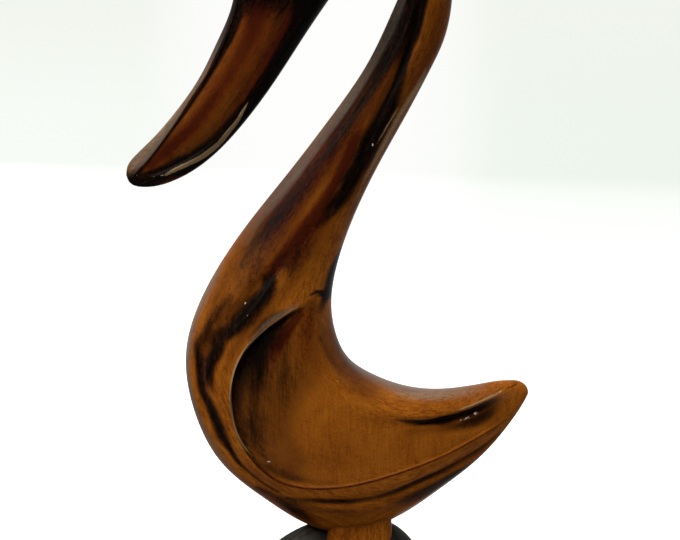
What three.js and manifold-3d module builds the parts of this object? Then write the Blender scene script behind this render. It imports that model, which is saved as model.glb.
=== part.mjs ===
// A carved wooden pelican, its long bill tucked down in front of an S-shaped neck, standing by a short foot
// in the top of a dark gouged mound. Millimetres, +Z up. The bird lies in the XZ plane with its bill towards
// -X, and both of its sides are carved alike. The origin is the centre of the mound's flat underside.
import * as THREE from "three";
import { mergeVertices } from "three/addons/utils/BufferGeometryUtils.js";
import Module from "manifold-3d";

const wasm = await Module();
wasm.setup();

// Sections across the bird, in order from the bill's tip over the head and down the neck to the tail:
// [place, back edge x, z, front edge x, z, half thickness]. The back edge runs along the culmen, crown, nape
// and back; the front edge along the bill's underside, throat, breast and belly.
const SECTIONS = [
  ["bill tip", -90.5, 184.8, -90.5, 184.8, 0],
  ["bill tip round", -89.9, 188.4, -88.8, 181.4, 2.6],
  ["bill end", -86.7, 192.9, -82.8, 179.7, 3.7],
  ["bill low", -78.8, 200.6, -69.9, 182.6, 4.9],
  ["bill middle", -68.5, 212.6, -55.2, 191.7, 6.2],
  ["bill upper", -59.6, 225.2, -42.0, 205.1, 7.6],
  ["bill root", -52.0, 240.1, -27.4, 224.4, 9.4],
  ["face", -45.4, 256.1, -13.0, 246.3, 11.6],
  ["brow", -42.6, 274.0, -0.2, 264.9, 13.6],
  ["forehead", -36.9, 291.4, 7.8, 276.3, 14.6],
  ["crown front", -20.9, 305.5, 13.2, 280.5, 14.8],
  ["crown", 2.5, 310.2, 18.0, 280.7, 14.2],
  ["crown back", 24.3, 304.9, 22.9, 276.7, 13.3],
  ["nape top", 40.4, 289.4, 25.8, 270.1, 12.4],
  ["nape", 46.9, 269.9, 26.0, 263.6, 11.9],
  ["neck top", 46.0, 250.3, 23.3, 256.4, 11.7],
  ["neck upper", 39.0, 231.1, 15.4, 239.0, 11.9],
  ["neck middle", 27.9, 210.1, 5.7, 222.5, 12.3],
  ["neck lower", 16.2, 189.0, -7.0, 205.1, 13.2],
  ["neck base", 6.1, 167.9, -22.3, 185.3, 15.6],
  ["shoulder", -0.2, 150.5, -38.7, 164.8, 19.2],
  ["breast top", -3.4, 135.1, -52.7, 144.3, 22.8],
  ["breast", -2.7, 121.4, -62.4, 124.0, 25.4],
  ["breast low", 2.3, 108.6, -65.7, 105.2, 26.8],
  ["belly front", 13.2, 100.2, -61.6, 82.9, 27.3],
  ["belly", 26.7, 95.1, -50.3, 61.9, 26.6],
  ["belly low", 39.7, 93.4, -30.5, 45.5, 24.4],
  ["keel", 50.8, 94.2, -4.3, 32.6, 20.8],
  ["keel back", 59.8, 95.7, 22.2, 37.6, 16.4],
  ["under tail", 67.5, 97.1, 43.3, 51.2, 12.0],
  ["tail root", 73.2, 97.4, 59.8, 64.4, 8.4],
  ["tail end", 76.6, 97.0, 71.0, 76.9, 5.4],
  ["tail tip round", 79.3, 95.2, 77.1, 85.8, 3.7],
  ["tail tip near", 80.2, 93.4, 79.2, 89.4, 2.1],
  ["tail tip", 80.4, 91.6, 80.4, 91.6, 0],
];
const ROUNDNESS = 2.25; // a section's superellipse exponent: 2 is an ellipse, more is boxier

// Lines that the carver follows on each side: [x, z, depth of the cut, width of its soft flank].
// The long gouge runs down the neck, round the breast, under the wing and up to the tail. Its flank towards
// the back edge is crisp and its flank towards the front edge is soft.
const LONG_GOUGE = [
  [33.5, 256.1, 1.9, 3.6],
  [30.7, 243.3, 2.2, 3.6],
  [24.5, 227.2, 1.8, 3.2],
  [15.8, 209.4, 1.6, 3.2],
  [5.8, 187.4, 1.4, 3.8],
  [-5, 171.3, 1, 4.2],
  [-16.6, 157.4, 0.8, 4.6],
  [-27.7, 145.1, 1.3, 4.4],
  [-37.1, 133.6, 2.2, 5],
  [-46.2, 122.8, 2, 5.6],
  [-54.4, 112.6, 1.9, 5],
  [-57.9, 102.3, 1.7, 4.6],
  [-55.9, 91.3, 1.7, 4.6],
  [-50.9, 80.1, 1.7, 4.6],
  [-43.9, 68.3, 1.6, 4.6],
  [-31.8, 56.7, 1.5, 4.4],
  [-18.4, 49.7, 1.3, 4],
  [-2.5, 48.5, 1.2, 4],
  [14.6, 50.4, 1.3, 4.4],
  [32.3, 56.6, 1.5, 5],
  [48.5, 64.4, 1.5, 4.6],
  [64.9, 73.8, 1.1, 3.6],
  [74, 81, 0.4, 2.4],
];
// The neck's front is a drawknife flat, and this short gouge runs along its inner edge.
const FLAT_GOUGE = [
  [30.3, 260.6, 0.7, 2.2],
  [27, 252.1, 1.5, 2.2],
  [22, 240.1, 1.4, 2.2],
  [15.7, 228.7, 1.2, 2.4],
  [7.3, 215.4, 1, 2.6],
  [-3.7, 200.7, 0.6, 3],
  [-16.6, 185.8, 0.3, 3.4],
  [-30.1, 171.1, 0, 3.4],
];
const CRISP_FLANK = 2.0;

// Edges of the sunken fields: [x, z, extra depth at the edge, width of the wall down to the field].
const WING_LEDGE = [
  [-5.4, 137.7, 0.2, 3.4],
  [-16.5, 131.5, 1.4, 2.2],
  [-28.8, 124.2, 2.1, 1.8],
  [-38.2, 115, 2.3, 1.7],
  [-43.6, 103.4, 2.3, 1.7],
  [-45.4, 92.1, 2.1, 1.7],
  [-43.4, 80.2, 1.5, 1.8],
  [-38.2, 68.6, 0.5, 2],
  [-27.9, 58.3, -0.5, 1.8],
  [-12.9, 54.5, -1.1, 1.5],
  [2.9, 55.4, -1.3, 1.4],
  [23.7, 60.5, -1.4, 1.4],
  [44.4, 67.6, -1.4, 1.4],
  [64.7, 77.6, -1.4, 1.6],
  [75.3, 83.2, -1.5, 1.8],
];
const SHOULDER_LEDGE = [
  [-4.3, 135.7, 0, 14],
  [-7.9, 126.8, 0, 16],
  [-7.9, 117.8, 0, 18],
  [-3.7, 105.8, 0, 18],
  [5.8, 96, 0, 15],
  [18.6, 88.5, 0.2, 9],
  [31.2, 84.9, 1, 4.2],
  [41.8, 85.1, 1.8, 3.2],
  [54.6, 88.1, 1.4, 3],
  [68.9, 93.7, 0, 6.5],
];
const CULMEN_LEDGE = [
  [-40.3, 273.2, 0, 3],
  [-43.1, 256.8, 0.4, 1.6],
  [-47.1, 243.5, 0.4, 1.2],
  [-54.8, 227.9, 0.3, 1],
  [-65.5, 211.5, 0.2, 1],
  [-76.5, 196.8, 0, 1],
  [-83, 188.8, 0, 1.2],
];
const BILL_RIM = [
  [2.1, 269.4, 0, 12],
  [-9.1, 258.3, 0.4, 10],
  [-19.6, 241.9, 0.8, 8],
  [-32.2, 222.4, 0.9, 5.6],
  [-43.6, 206.8, 1, 3.6],
  [-56.3, 194.5, 0.9, 2.8],
  [-70.3, 186.7, 0.5, 2.2],
  [-79.2, 183.1, 0.2, 2],
];
const WING_FIELD_DEPTH = 2.0;
const BILL_FIELD_DEPTH = 1.2;
const EDGE_DEPTH_REACH = 6.5; // how far into a field its extra depth at the edge carries
const SKIN = 2.6; // cuts thin out where less than about this half thickness is left

// How strongly each of these is carved along the bird, from place to place.
const BILL_FIELD_STRENGTH = { "bill tip": 1, "bill root": 1, brow: 0 };
const WING_FIELD_STRENGTH = { "neck base": 0, shoulder: 1, "under tail": 1, "tail tip round": 0 };
const BACK_FACET_STRENGTH = { "bill tip round": 0, "bill end": 1, face: 1, brow: 0 };
const FRONT_FACET_STRENGTH = {
  "bill end": 0,
  "bill low": 1,
  "bill root": 0.9,
  brow: 0,
  "nape top": 0,
  "neck top": 1,
  "neck base": 1,
  "breast top": 0,
  keel: 0,
  "under tail": 0.8,
  "tail end": 0,
};
const FACET_EDGE = 2.0; // half thickness left at the outer edge of a facet

const EYE = { x: -20.1, z: 288.9, radius: 2.5, depth: 1.0 };

// The foot block: carved in one with the bird and let into the mound.
const FOOT = { x: 8.4, halfWidth: 13.2, halfDepth: 11.0, top: 52, bottom: 9, flare: 1.5, corner: 6 };

// The mound: its ridge runs along the bird, its sides fall steeply, and it is gouged all round.
const MOUND = {
  height: 37.8,
  toTail: 42,
  toBill: 47.5,
  halfDepth: 34,
  crestPower: [1.88, 4.0], // how square the ridge line is, towards the bill and towards the tail
  sidePower: 1.04,
  gouges: 15,
  gougeDepth: 0.075, // as a share of the radius
};
const SEAT_GAP = 0.4;

const BODY_ROWS = 88;
const LIP = 1.4; // spacing of the surface's points beside a ledge's crest
const MOUND_ROWS = 8;
const MOUND_COLUMNS = 52;

// A natural cubic spline through rows of numbers at increasing knots, as a function of the knot parameter.
function splineThrough(knots, rows) {
  const n = knots.length;
  const width = rows[0].length;
  const bend = rows.map(() => new Array(width).fill(0));
  for (let k = 0; k < width; k++) {
    const diagonal = new Array(n).fill(1);
    const right = new Array(n).fill(0);
    for (let i = 1; i < n - 1; i++) {
      const before = knots[i] - knots[i - 1];
      const after = knots[i + 1] - knots[i];
      const pull = i > 1 ? before / diagonal[i - 1] : 0;
      diagonal[i] = 2 * (before + after) - pull * before;
      const slopeChange = (rows[i + 1][k] - rows[i][k]) / after - (rows[i][k] - rows[i - 1][k]) / before;
      right[i] = 6 * slopeChange - pull * right[i - 1];
    }
    for (let i = n - 2; i > 0; i--) {
      bend[i][k] = (right[i] - (knots[i + 1] - knots[i]) * bend[i + 1][k]) / diagonal[i];
    }
  }
  return (at) => {
    let i = 0;
    while (i < n - 2 && knots[i + 1] < at) i++;
    const h = knots[i + 1] - knots[i];
    const b = (at - knots[i]) / h;
    const a = 1 - b;
    return rows[i].map((value, k) => {
      const curve = (a ** 3 - a) * bend[i][k] + (b ** 3 - b) * bend[i + 1][k];
      return a * value + b * rows[i + 1][k] + (curve * h * h) / 6;
    });
  };
}

// Knots spaced by the distance between successive points.
function knotsAlong(points) {
  const knots = [0];
  for (let i = 1; i < points.length; i++) {
    const [a, b] = [points[i - 1], points[i]];
    knots.push(knots[i - 1] + Math.hypot(b[0] - a[0], b[1] - a[1]));
  }
  return knots;
}

const clamp01 = (value) => Math.min(1, Math.max(0, value));
const ramp = (value) => clamp01(value) ** 2 * (3 - 2 * clamp01(value));

// A carved line made dense: each sample holds x, z, its depth and its reach.
function carvedLine(points, steps = 90) {
  const knots = knotsAlong(points);
  const at = splineThrough(knots, points);
  const length = knots[knots.length - 1];
  return Array.from({ length: steps + 1 }, (_, i) => at((length * i) / steps));
}

// Signed distance from a carved line, positive on the left of its run, with the line's depth and reach there
// and how far it is from the line's two ends.
function offsetFrom(line, x, z) {
  let best = { distance: Infinity };
  for (let i = 1; i < line.length; i++) {
    const [ax, az, aDepth, aReach] = line[i - 1];
    const [bx, bz, bDepth, bReach] = line[i];
    const [dx, dz] = [bx - ax, bz - az];
    const share = clamp01(((x - ax) * dx + (z - az) * dz) / (dx * dx + dz * dz));
    const [ox, oz] = [x - ax - share * dx, z - az - share * dz];
    const distance = Math.hypot(ox, oz);
    if (distance < best.distance) {
      best = {
        distance,
        side: dx * oz - dz * ox >= 0 ? 1 : -1,
        depth: aDepth + share * (bDepth - aDepth),
        reach: aReach + share * (bReach - aReach),
      };
    }
  }
  return { ...best, signed: best.distance * best.side };
}

const LINES = {
  longGouge: carvedLine(LONG_GOUGE, 160),
  flatGouge: carvedLine(FLAT_GOUGE, 60),
  wing: carvedLine(WING_LEDGE, 120),
  shoulder: carvedLine(SHOULDER_LEDGE, 90),
  culmen: carvedLine(CULMEN_LEDGE, 60),
  billRim: carvedLine(BILL_RIM, 60),
};

const sectionKnots = [0];
for (let i = 1; i < SECTIONS.length; i++) {
  const [, backX, backZ, frontX, frontZ] = SECTIONS[i];
  const [, lastBackX, lastBackZ, lastFrontX, lastFrontZ] = SECTIONS[i - 1];
  const backStep = Math.hypot(backX - lastBackX, backZ - lastBackZ);
  const frontStep = Math.hypot(frontX - lastFrontX, frontZ - lastFrontZ);
  sectionKnots.push(sectionKnots[i - 1] + (backStep + frontStep) / 2);
}
const bodyLength = sectionKnots[sectionKnots.length - 1];
const sectionAt = splineThrough(
  sectionKnots,
  SECTIONS.map((section) => section.slice(1)),
);
const knotOf = (place) => sectionKnots[SECTIONS.findIndex(([name]) => name === place)];

// A strength that changes smoothly from place to place along the bird.
function strengthAt(levels, along) {
  const places = Object.keys(levels).map((place) => [knotOf(place), levels[place]]);
  if (along <= places[0][0]) return places[0][1];
  for (let i = 1; i < places.length; i++) {
    const [[from, low], [to, high]] = [places[i - 1], places[i]];
    if (along < to) return low + (high - low) * ramp((along - from) / (to - from));
  }
  return places[places.length - 1][1];
}

// A gouge's cross-section: full depth on its line, crisp on the back edge's side, soft on the front edge's.
function gougeDepth(line, x, z) {
  const cut = offsetFrom(line, x, z);
  return cut.depth * (1 - ramp(cut.distance / (cut.signed > 0 ? CRISP_FLANK : cut.reach)));
}

// A sunken field between two ledges, each with its own wall and its own extra depth.
function fieldDepth(fieldDepthInside, first, firstSide, second, secondSide) {
  const edges = [first, second].map((edge) => edge.depth * Math.exp(-edge.distance / EDGE_DEPTH_REACH));
  const inside = ramp((firstSide * first.signed) / first.reach) * ramp((secondSide * second.signed) / second.reach);
  return (fieldDepthInside + edges[0] + edges[1]) * inside;
}

// How deep the two sides are cut below the rounded section at a place on the side.
function carvingAt(x, z, along) {
  const to = (line) => offsetFrom(line, x, z);
  let depth = gougeDepth(LINES.longGouge, x, z) + gougeDepth(LINES.flatGouge, x, z);
  const wing = strengthAt(WING_FIELD_STRENGTH, along);
  if (wing > 0) depth += wing * fieldDepth(WING_FIELD_DEPTH, to(LINES.wing), 1, to(LINES.shoulder), -1);
  const bill = strengthAt(BILL_FIELD_STRENGTH, along);
  if (bill > 0) depth += bill * fieldDepth(BILL_FIELD_DEPTH, to(LINES.culmen), 1, to(LINES.billRim), -1);
  return depth;
}

// Where a section's straight from back edge to front edge crosses a carved line: the share of its width, and
// the widths, as shares, of one millimetre across the line and of the line's own flank. Null if they miss.
function crossing(line, [backX, backZ, frontX, frontZ]) {
  const width = Math.hypot(frontX - backX, frontZ - backZ);
  const [ux, uz] = [(frontX - backX) / width, (frontZ - backZ) / width];
  const height = ([x, z]) => ux * (z - backZ) - uz * (x - backX);
  for (let i = 1; i < line.length; i++) {
    const [a, b] = [height(line[i - 1]), height(line[i])];
    if (a * b > 0 || a === b) continue;
    const mixed = line[i].map((value, k) => line[i - 1][k] + (value - line[i - 1][k]) * (a / (a - b)));
    const share = (ux * (mixed[0] - backX) + uz * (mixed[1] - backZ)) / width;
    if (share <= 0 || share >= 1) continue;
    const run = Math.hypot(line[i][0] - line[i - 1][0], line[i][1] - line[i - 1][1]);
    const slant = Math.max(Math.abs(b - a) / run, 0.3);
    return [share, 1 / (slant * width), mixed[3] / (slant * width)];
  }
  return null;
}

// The four tracks that the surface's columns follow, from the back edge to the front edge. Where a track's
// lines end, it carries on evenly to its next line, or stays where it is.
const TRACKS = [
  [LINES.culmen, LINES.shoulder],
  [LINES.wing],
  [LINES.longGouge],
  [LINES.billRim, LINES.flatGouge],
];
const TRACK_START = [0.2, 0.42, 0.6, 0.8];

function trackValues(track, start, sections) {
  const found = sections.map((section) => {
    for (const line of track) {
      const hit = crossing(line, section);
      if (hit) return hit;
    }
    return null;
  });
  return found.map((hit, i) => {
    if (hit) return hit;
    let [before, after] = [i, i];
    while (before >= 0 && !found[before]) before--;
    while (after < found.length && !found[after]) after++;
    const width = Math.hypot(sections[i][2] - sections[i][0], sections[i][3] - sections[i][1]);
    const parked = [start, 1 / width, 2 / width];
    const [low, high] = [found[before] ?? parked, found[after] ?? found[before] ?? parked];
    const share = ramp((i - Math.max(before, 0)) / (Math.min(after, found.length) - Math.max(before, 0)));
    return low.map((value, k) => value + (high[k] - value) * share);
  });
}

// The shares at which a section has its points: three or so at each track and a few between them.
function columnsOf(tracks) {
  const [first, second, third, fourth] = tracks;
  const between = (from, to, parts) => parts.map((part) => from + (to - from) * part);
  const wallEnd = first[0] + Math.min(first[2], 0.8 * Math.max(second[0] - first[0], 0.02));
  const wallStart = second[0] - Math.min(second[2], 0.8 * Math.max(second[0] - first[0], 0.02));
  const fourthEnd = fourth[0] + Math.min(fourth[2], 0.5 * (1 - fourth[0]));
  const shares = [
    ...between(0, first[0] - LIP * first[1], [0, 0.08, 0.3, 0.62, 1]),
    ...between(first[0], wallEnd, [0, 0.5, 1]),
    ...between(wallEnd, wallStart, [0.33, 0.67, 1]),
    second[0],
    ...[-CRISP_FLANK * third[1], 0, third[2]].map((offset) => third[0] + offset),
    ...[-CRISP_FLANK * fourth[1], 0].map((offset) => fourth[0] + offset),
    ...between(fourthEnd, 1, [0, 0.4, 0.72, 0.93, 1]),
  ]
    .map(clamp01)
    .sort((a, b) => a - b);
  const closest = 0.006;
  for (let i = 1; i < shares.length; i++) shares[i] = Math.max(shares[i], shares[i - 1] + closest);
  const last = shares[shares.length - 1];
  return shares.map((share) => share / last);
}

// Shares from 0 to 1 dealt out closer where the weight is higher.
function dealOut(count, weightAt, steps = 900) {
  const total = [0];
  for (let i = 0; i < steps; i++) total.push(total[i] + weightAt((i + 0.5) / steps));
  const shares = [];
  let step = 0;
  for (let j = 0; j <= count; j++) {
    const target = (total[steps] * j) / count;
    while (step < steps - 1 && total[step + 1] < target) step++;
    shares.push(clamp01((step + (target - total[step]) / (total[step + 1] - total[step])) / steps));
  }
  return shares;
}

// A closed surface from a grid of points whose first and last rows are single points.
function closedSurface(rows) {
  const columns = rows[1].length;
  const vertices = [...rows[0][0]];
  for (const row of rows.slice(1, -1)) vertices.push(...row.flat());
  vertices.push(...rows[rows.length - 1][0]);
  const last = vertices.length / 3 - 1;
  const triangles = [];
  const vertex = (row, column) => 1 + (row - 1) * columns + (column % columns);
  for (let c = 0; c < columns; c++) {
    triangles.push(0, vertex(1, c), vertex(1, c + 1));
    triangles.push(last, vertex(rows.length - 2, c + 1), vertex(rows.length - 2, c));
    for (let r = 1; r < rows.length - 2; r++) {
      const [a, b, d, e] = [vertex(r, c), vertex(r, c + 1), vertex(r + 1, c), vertex(r + 1, c + 1)];
      triangles.push(a, e, b, a, d, e);
    }
  }
  const geometry = new THREE.BufferGeometry();
  geometry.setAttribute("position", new THREE.Float32BufferAttribute(vertices, 3));
  geometry.setIndex(triangles);
  return geometry;
}

// A closed geometry as a solid that can be joined and cut.
function solidOf(geometry) {
  const plain = geometry.clone();
  plain.deleteAttribute("normal");
  plain.deleteAttribute("uv");
  const merged = mergeVertices(plain, 1e-4);
  const solid = new wasm.Manifold(
    new wasm.Mesh({
      numProp: 3,
      vertProperties: new Float32Array(merged.attributes.position.array),
      triVerts: new Uint32Array(merged.index.array),
    }),
  );
  if (solid.volume() < 0) throw new Error("a surface faces inwards");
  return solid;
}

// A solid back as a named mesh.
function meshOf(name, solid, material) {
  const made = solid.getMesh();
  const positions = new Float32Array(made.numVert * 3);
  for (let i = 0; i < made.numVert; i++) {
    positions.set(made.vertProperties.subarray(i * made.numProp, i * made.numProp + 3), i * 3);
  }
  const geometry = new THREE.BufferGeometry();
  geometry.setAttribute("position", new THREE.BufferAttribute(positions, 3));
  geometry.setIndex(new THREE.BufferAttribute(new Uint32Array(made.triVerts), 1));
  geometry.computeVertexNormals();
  const mesh = new THREE.Mesh(geometry, material);
  mesh.name = name;
  return mesh;
}

// One section of the bird as a ring of points: across one side from back edge to front edge, then back
// across the other. grow moves every point outwards, for cutting the mound clear of the bird.
function sectionRing(along, section, tracks, grow) {
  const [backX, backZ, frontX, frontZ, half] = section;
  const width = Math.hypot(frontX - backX, frontZ - backZ);
  const [ux, uz] = [(frontX - backX) / width, (frontZ - backZ) / width];
  const roundAt = (share) => half * (1 - Math.abs(2 * share - 1) ** ROUNDNESS) ** (1 / ROUNDNESS);
  const facetAt = (round, share, edgeShare, strength) => {
    if (share >= edgeShare || strength === 0) return round;
    const flat = FACET_EDGE + ((roundAt(edgeShare) - FACET_EDGE) * share) / edgeShare;
    return round + strength * (Math.min(round, flat) - round);
  };
  const side = columnsOf(tracks).map((share) => {
    const [x, z] = [backX + ux * width * share, backZ + uz * width * share];
    const backCut = facetAt(roundAt(share), share, tracks[0][0], strengthAt(BACK_FACET_STRENGTH, along));
    const uncut = facetAt(backCut, 1 - share, 1 - tracks[3][0], strengthAt(FRONT_FACET_STRENGTH, along));
    const depth = carvingAt(x, z, along) * (1 - Math.exp(-uncut / SKIN));
    const outwards = grow * (2 * share - 1);
    return [x + ux * outwards, z + uz * outwards, Math.max(uncut - depth, 0) + (uncut > 0 ? grow : 0)];
  });
  const near = side.slice(1, -1).reverse();
  return [...side.map(([x, z, y]) => [x, y, z]), ...near.map(([x, z, y]) => [x, -y, z])];
}

// The bird's body from the bill's tip to the tail's tip, without its foot.
function bodySolid(grow = 0) {
  const tipWeight = (share) => 1 + 5 * Math.exp(-share / 0.012) + 5 * Math.exp(-(1 - share) / 0.012);
  const stations = dealOut(BODY_ROWS, tipWeight)
    .slice(1, -1)
    .map((share) => share * bodyLength);
  const sections = stations.map(sectionAt);
  const tracks = TRACKS.map((track, k) => trackValues(track, TRACK_START[k], sections));
  const rows = stations.map((along, i) =>
    sectionRing(
      along,
      sections[i],
      tracks.map((values) => values[i]),
      grow,
    ),
  );
  const tip = (along, reach) => {
    const [x, z] = sectionAt(along);
    return [[x + reach, 0, z]];
  };
  return solidOf(closedSurface([tip(0, -grow), ...rows, tip(bodyLength, grow)]));
}

// The foot block: a rounded rectangle in plan that widens slightly downwards.
function footSolid(grow = 0) {
  const columns = 24;
  const levels = 5;
  const ring = (share) => {
    const z = FOOT.top + grow + (FOOT.bottom - FOOT.top - 2 * grow) * share;
    const spread = FOOT.flare * ramp(share) + grow;
    const corner = FOOT.corner + grow;
    const [halfX, halfY] = [FOOT.halfWidth + spread - corner, FOOT.halfDepth + spread - corner];
    return Array.from({ length: columns }, (_, c) => {
      const angle = (2 * Math.PI * (c + 0.5)) / columns;
      const [cos, sin] = [Math.cos(angle), Math.sin(angle)];
      return [FOOT.x + Math.sign(cos) * halfX + corner * cos, Math.sign(sin) * halfY + corner * sin, z];
    });
  };
  const rings = Array.from({ length: levels + 1 }, (_, i) => ring(i / levels));
  const [top, bottom] = [rings[0][0][2], rings[levels][0][2]];
  return solidOf(closedSurface([[[FOOT.x, 0, top]], ...rings, [[FOOT.x, 0, bottom]]]));
}

// A small dished eye on each side of the head.
function cutEyes(solid) {
  const dish = (EYE.radius ** 2 + EYE.depth ** 2) / (2 * EYE.depth);
  const faces = solid.getMesh();
  let surface = 0;
  for (let i = 0; i < faces.numVert; i++) {
    const [x, y, z] = faces.vertProperties.subarray(i * faces.numProp, i * faces.numProp + 3);
    if (Math.hypot(x - EYE.x, z - EYE.z) < 2 * EYE.radius) surface = Math.max(surface, Math.abs(y));
  }
  const ball = new THREE.SphereGeometry(dish, 24, 12);
  return [-1, 1].reduce((cut, side) => {
    const placed = ball.clone().translate(EYE.x, side * (surface - EYE.depth + dish), EYE.z);
    return cut.subtract(solidOf(placed));
  }, solid);
}

// The mound: down each direction the surface falls from the crest to the rim as a superellipse.
function moundSolid() {
  const rows = [[[0, 0, MOUND.height]]];
  for (let r = 1; r <= MOUND_ROWS; r++) {
    const down = (Math.PI / 2) * (r / MOUND_ROWS);
    rows.push(
      Array.from({ length: MOUND_COLUMNS }, (_, c) => {
        const angle = (2 * Math.PI * c) / MOUND_COLUMNS;
        const [cos, sin] = [Math.cos(angle), Math.sin(angle)];
        const lengthwise = cos ** 6;
        const crest = MOUND.crestPower[cos > 0 ? 1 : 0];
        const power = crest * lengthwise + MOUND.sidePower * (1 - lengthwise);
        const fall = 1.35 * lengthwise + (1 - lengthwise);
        const reach = 1 / Math.hypot(cos / (cos > 0 ? MOUND.toTail : MOUND.toBill), sin / MOUND.halfDepth);
        const turn = angle + 0.22 * Math.sin(2 * angle + 1) + 0.12 * Math.sin(3 * angle + 4);
        const gouge = MOUND.gougeDepth * Math.abs(Math.sin((MOUND.gouges * turn) / 2));
        const radius = reach * Math.sin(down) ** (2 / power) * (1 - gouge * Math.sin(down));
        return [radius * cos, radius * sin, r === MOUND_ROWS ? 0 : MOUND.height * Math.cos(down) ** (2 / fall)];
      }),
    );
  }
  rows.push([[0, 0, 0]]);
  return solidOf(closedSurface(rows));
}

const amberWood = new THREE.MeshStandardMaterial({ color: 0x8a4a1c, roughness: 0.38, metalness: 0 });
const darkWood = new THREE.MeshStandardMaterial({ color: 0x2b2823, roughness: 0.6, metalness: 0 });

const bird = cutEyes(bodySolid().add(footSolid()));
const seat = bodySolid(SEAT_GAP).add(footSolid(SEAT_GAP));

const figurine = new THREE.Group();
figurine.add(meshOf("pelican", bird, amberWood));
figurine.add(meshOf("mound", moundSolid().subtract(seat), darkWood));

export default figurine;
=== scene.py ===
"""Looks of a carved wooden pelican figurine on its dark gouged mound.

The bird is one carved solid: a long bill tucked down before an S-shaped neck, a hollowed wing on each side
and a short foot let into the mound. Its carving is worked out in millimetres from named sections and lines,
and turned into metres as each mesh is filled. Stains, wear, painted shade and painted sheen are strokes laid
on the carving, and the finish reads them as attributes of the mesh.
"""

import logging
import math
from dataclasses import dataclass, field
from enum import Enum

import bpy
import numpy as np
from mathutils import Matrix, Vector


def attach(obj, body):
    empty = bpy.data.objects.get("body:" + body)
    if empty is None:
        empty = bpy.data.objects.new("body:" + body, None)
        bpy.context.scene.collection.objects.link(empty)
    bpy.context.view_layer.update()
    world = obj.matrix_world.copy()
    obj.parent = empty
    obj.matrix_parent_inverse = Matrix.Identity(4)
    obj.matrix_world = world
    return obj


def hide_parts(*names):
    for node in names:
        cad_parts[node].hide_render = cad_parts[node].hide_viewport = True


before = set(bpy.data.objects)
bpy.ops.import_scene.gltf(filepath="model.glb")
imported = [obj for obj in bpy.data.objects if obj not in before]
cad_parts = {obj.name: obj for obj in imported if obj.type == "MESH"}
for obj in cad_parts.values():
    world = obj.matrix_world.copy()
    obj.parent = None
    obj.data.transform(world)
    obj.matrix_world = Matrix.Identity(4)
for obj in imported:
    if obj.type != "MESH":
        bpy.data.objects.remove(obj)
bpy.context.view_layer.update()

logging.basicConfig(level=logging.INFO, format="%(message)s")
LOG = logging.getLogger("pelican")

MM = 0.001
SMOOTH_ANGLE = 40.0
LEAST_WIDTH = 0.05
Colour = tuple[float, float, float, float]
Triple = tuple[float, float, float]
Span = tuple[float, float]


def paint(red: int, green: int, blue: int) -> Colour:
    """Turns a display colour into the linear one that shaders work in.

    Args:
        red: Red from 0 to 255.
        green: Green from 0 to 255.
        blue: Blue from 0 to 255.

    Returns:
        The linear colour, opaque.
    """
    shares = [value / 255 for value in (red, green, blue)]
    linear = [s / 12.92 if s <= 0.04045 else ((s + 0.055) / 1.055) ** 2.4 for s in shares]
    return (*linear, 1.0)


def eased(value: np.ndarray | float) -> np.ndarray | float:
    """Smooth step: three squares less two cubes of the value, held between 0 and 1."""
    held = np.clip(value, 0.0, 1.0)
    return held * held * (3.0 - 2.0 * held)


class NaturalSpline:
    """A natural cubic spline through rows of numbers at increasing knots."""

    def __init__(self, knots: np.ndarray, rows: np.ndarray) -> None:
        """Solves the three-term equations for the curvature at each knot, with none at the two ends.

        Args:
            knots: Increasing parameters, one per row.
            rows: The numbers to pass through, one row per knot.
        """
        self.knots = np.asarray(knots, float)
        self.rows = np.asarray(rows, float)
        count = len(self.knots)
        step = np.diff(self.knots)
        slope = np.diff(self.rows, axis=0) / step[:, None]
        matrix = np.eye(count)
        right = np.zeros_like(self.rows)
        inner = np.arange(1, count - 1)
        matrix[inner, inner - 1] = step[:-1]
        matrix[inner, inner] = 2.0 * (step[:-1] + step[1:])
        matrix[inner, inner + 1] = step[1:]
        right[inner] = 6.0 * (slope[1:] - slope[:-1])
        self.bend = np.linalg.solve(matrix, right)

    def at(self, where: np.ndarray) -> np.ndarray:
        """Values of the curve: the straight between two knots plus the cubic that bends it.

        Args:
            where: Knot parameters.

        Returns:
            One row of values for each parameter.
        """
        index = np.clip(np.searchsorted(self.knots, where, side="right") - 1, 0, len(self.knots) - 2)
        step = (self.knots[index + 1] - self.knots[index])[:, None]
        late = (np.asarray(where)[:, None] - self.knots[index][:, None]) / step
        early = 1.0 - late
        curve = (early**3 - early) * self.bend[index] + (late**3 - late) * self.bend[index + 1]
        return early * self.rows[index] + late * self.rows[index + 1] + curve * step**2 / 6.0


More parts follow.
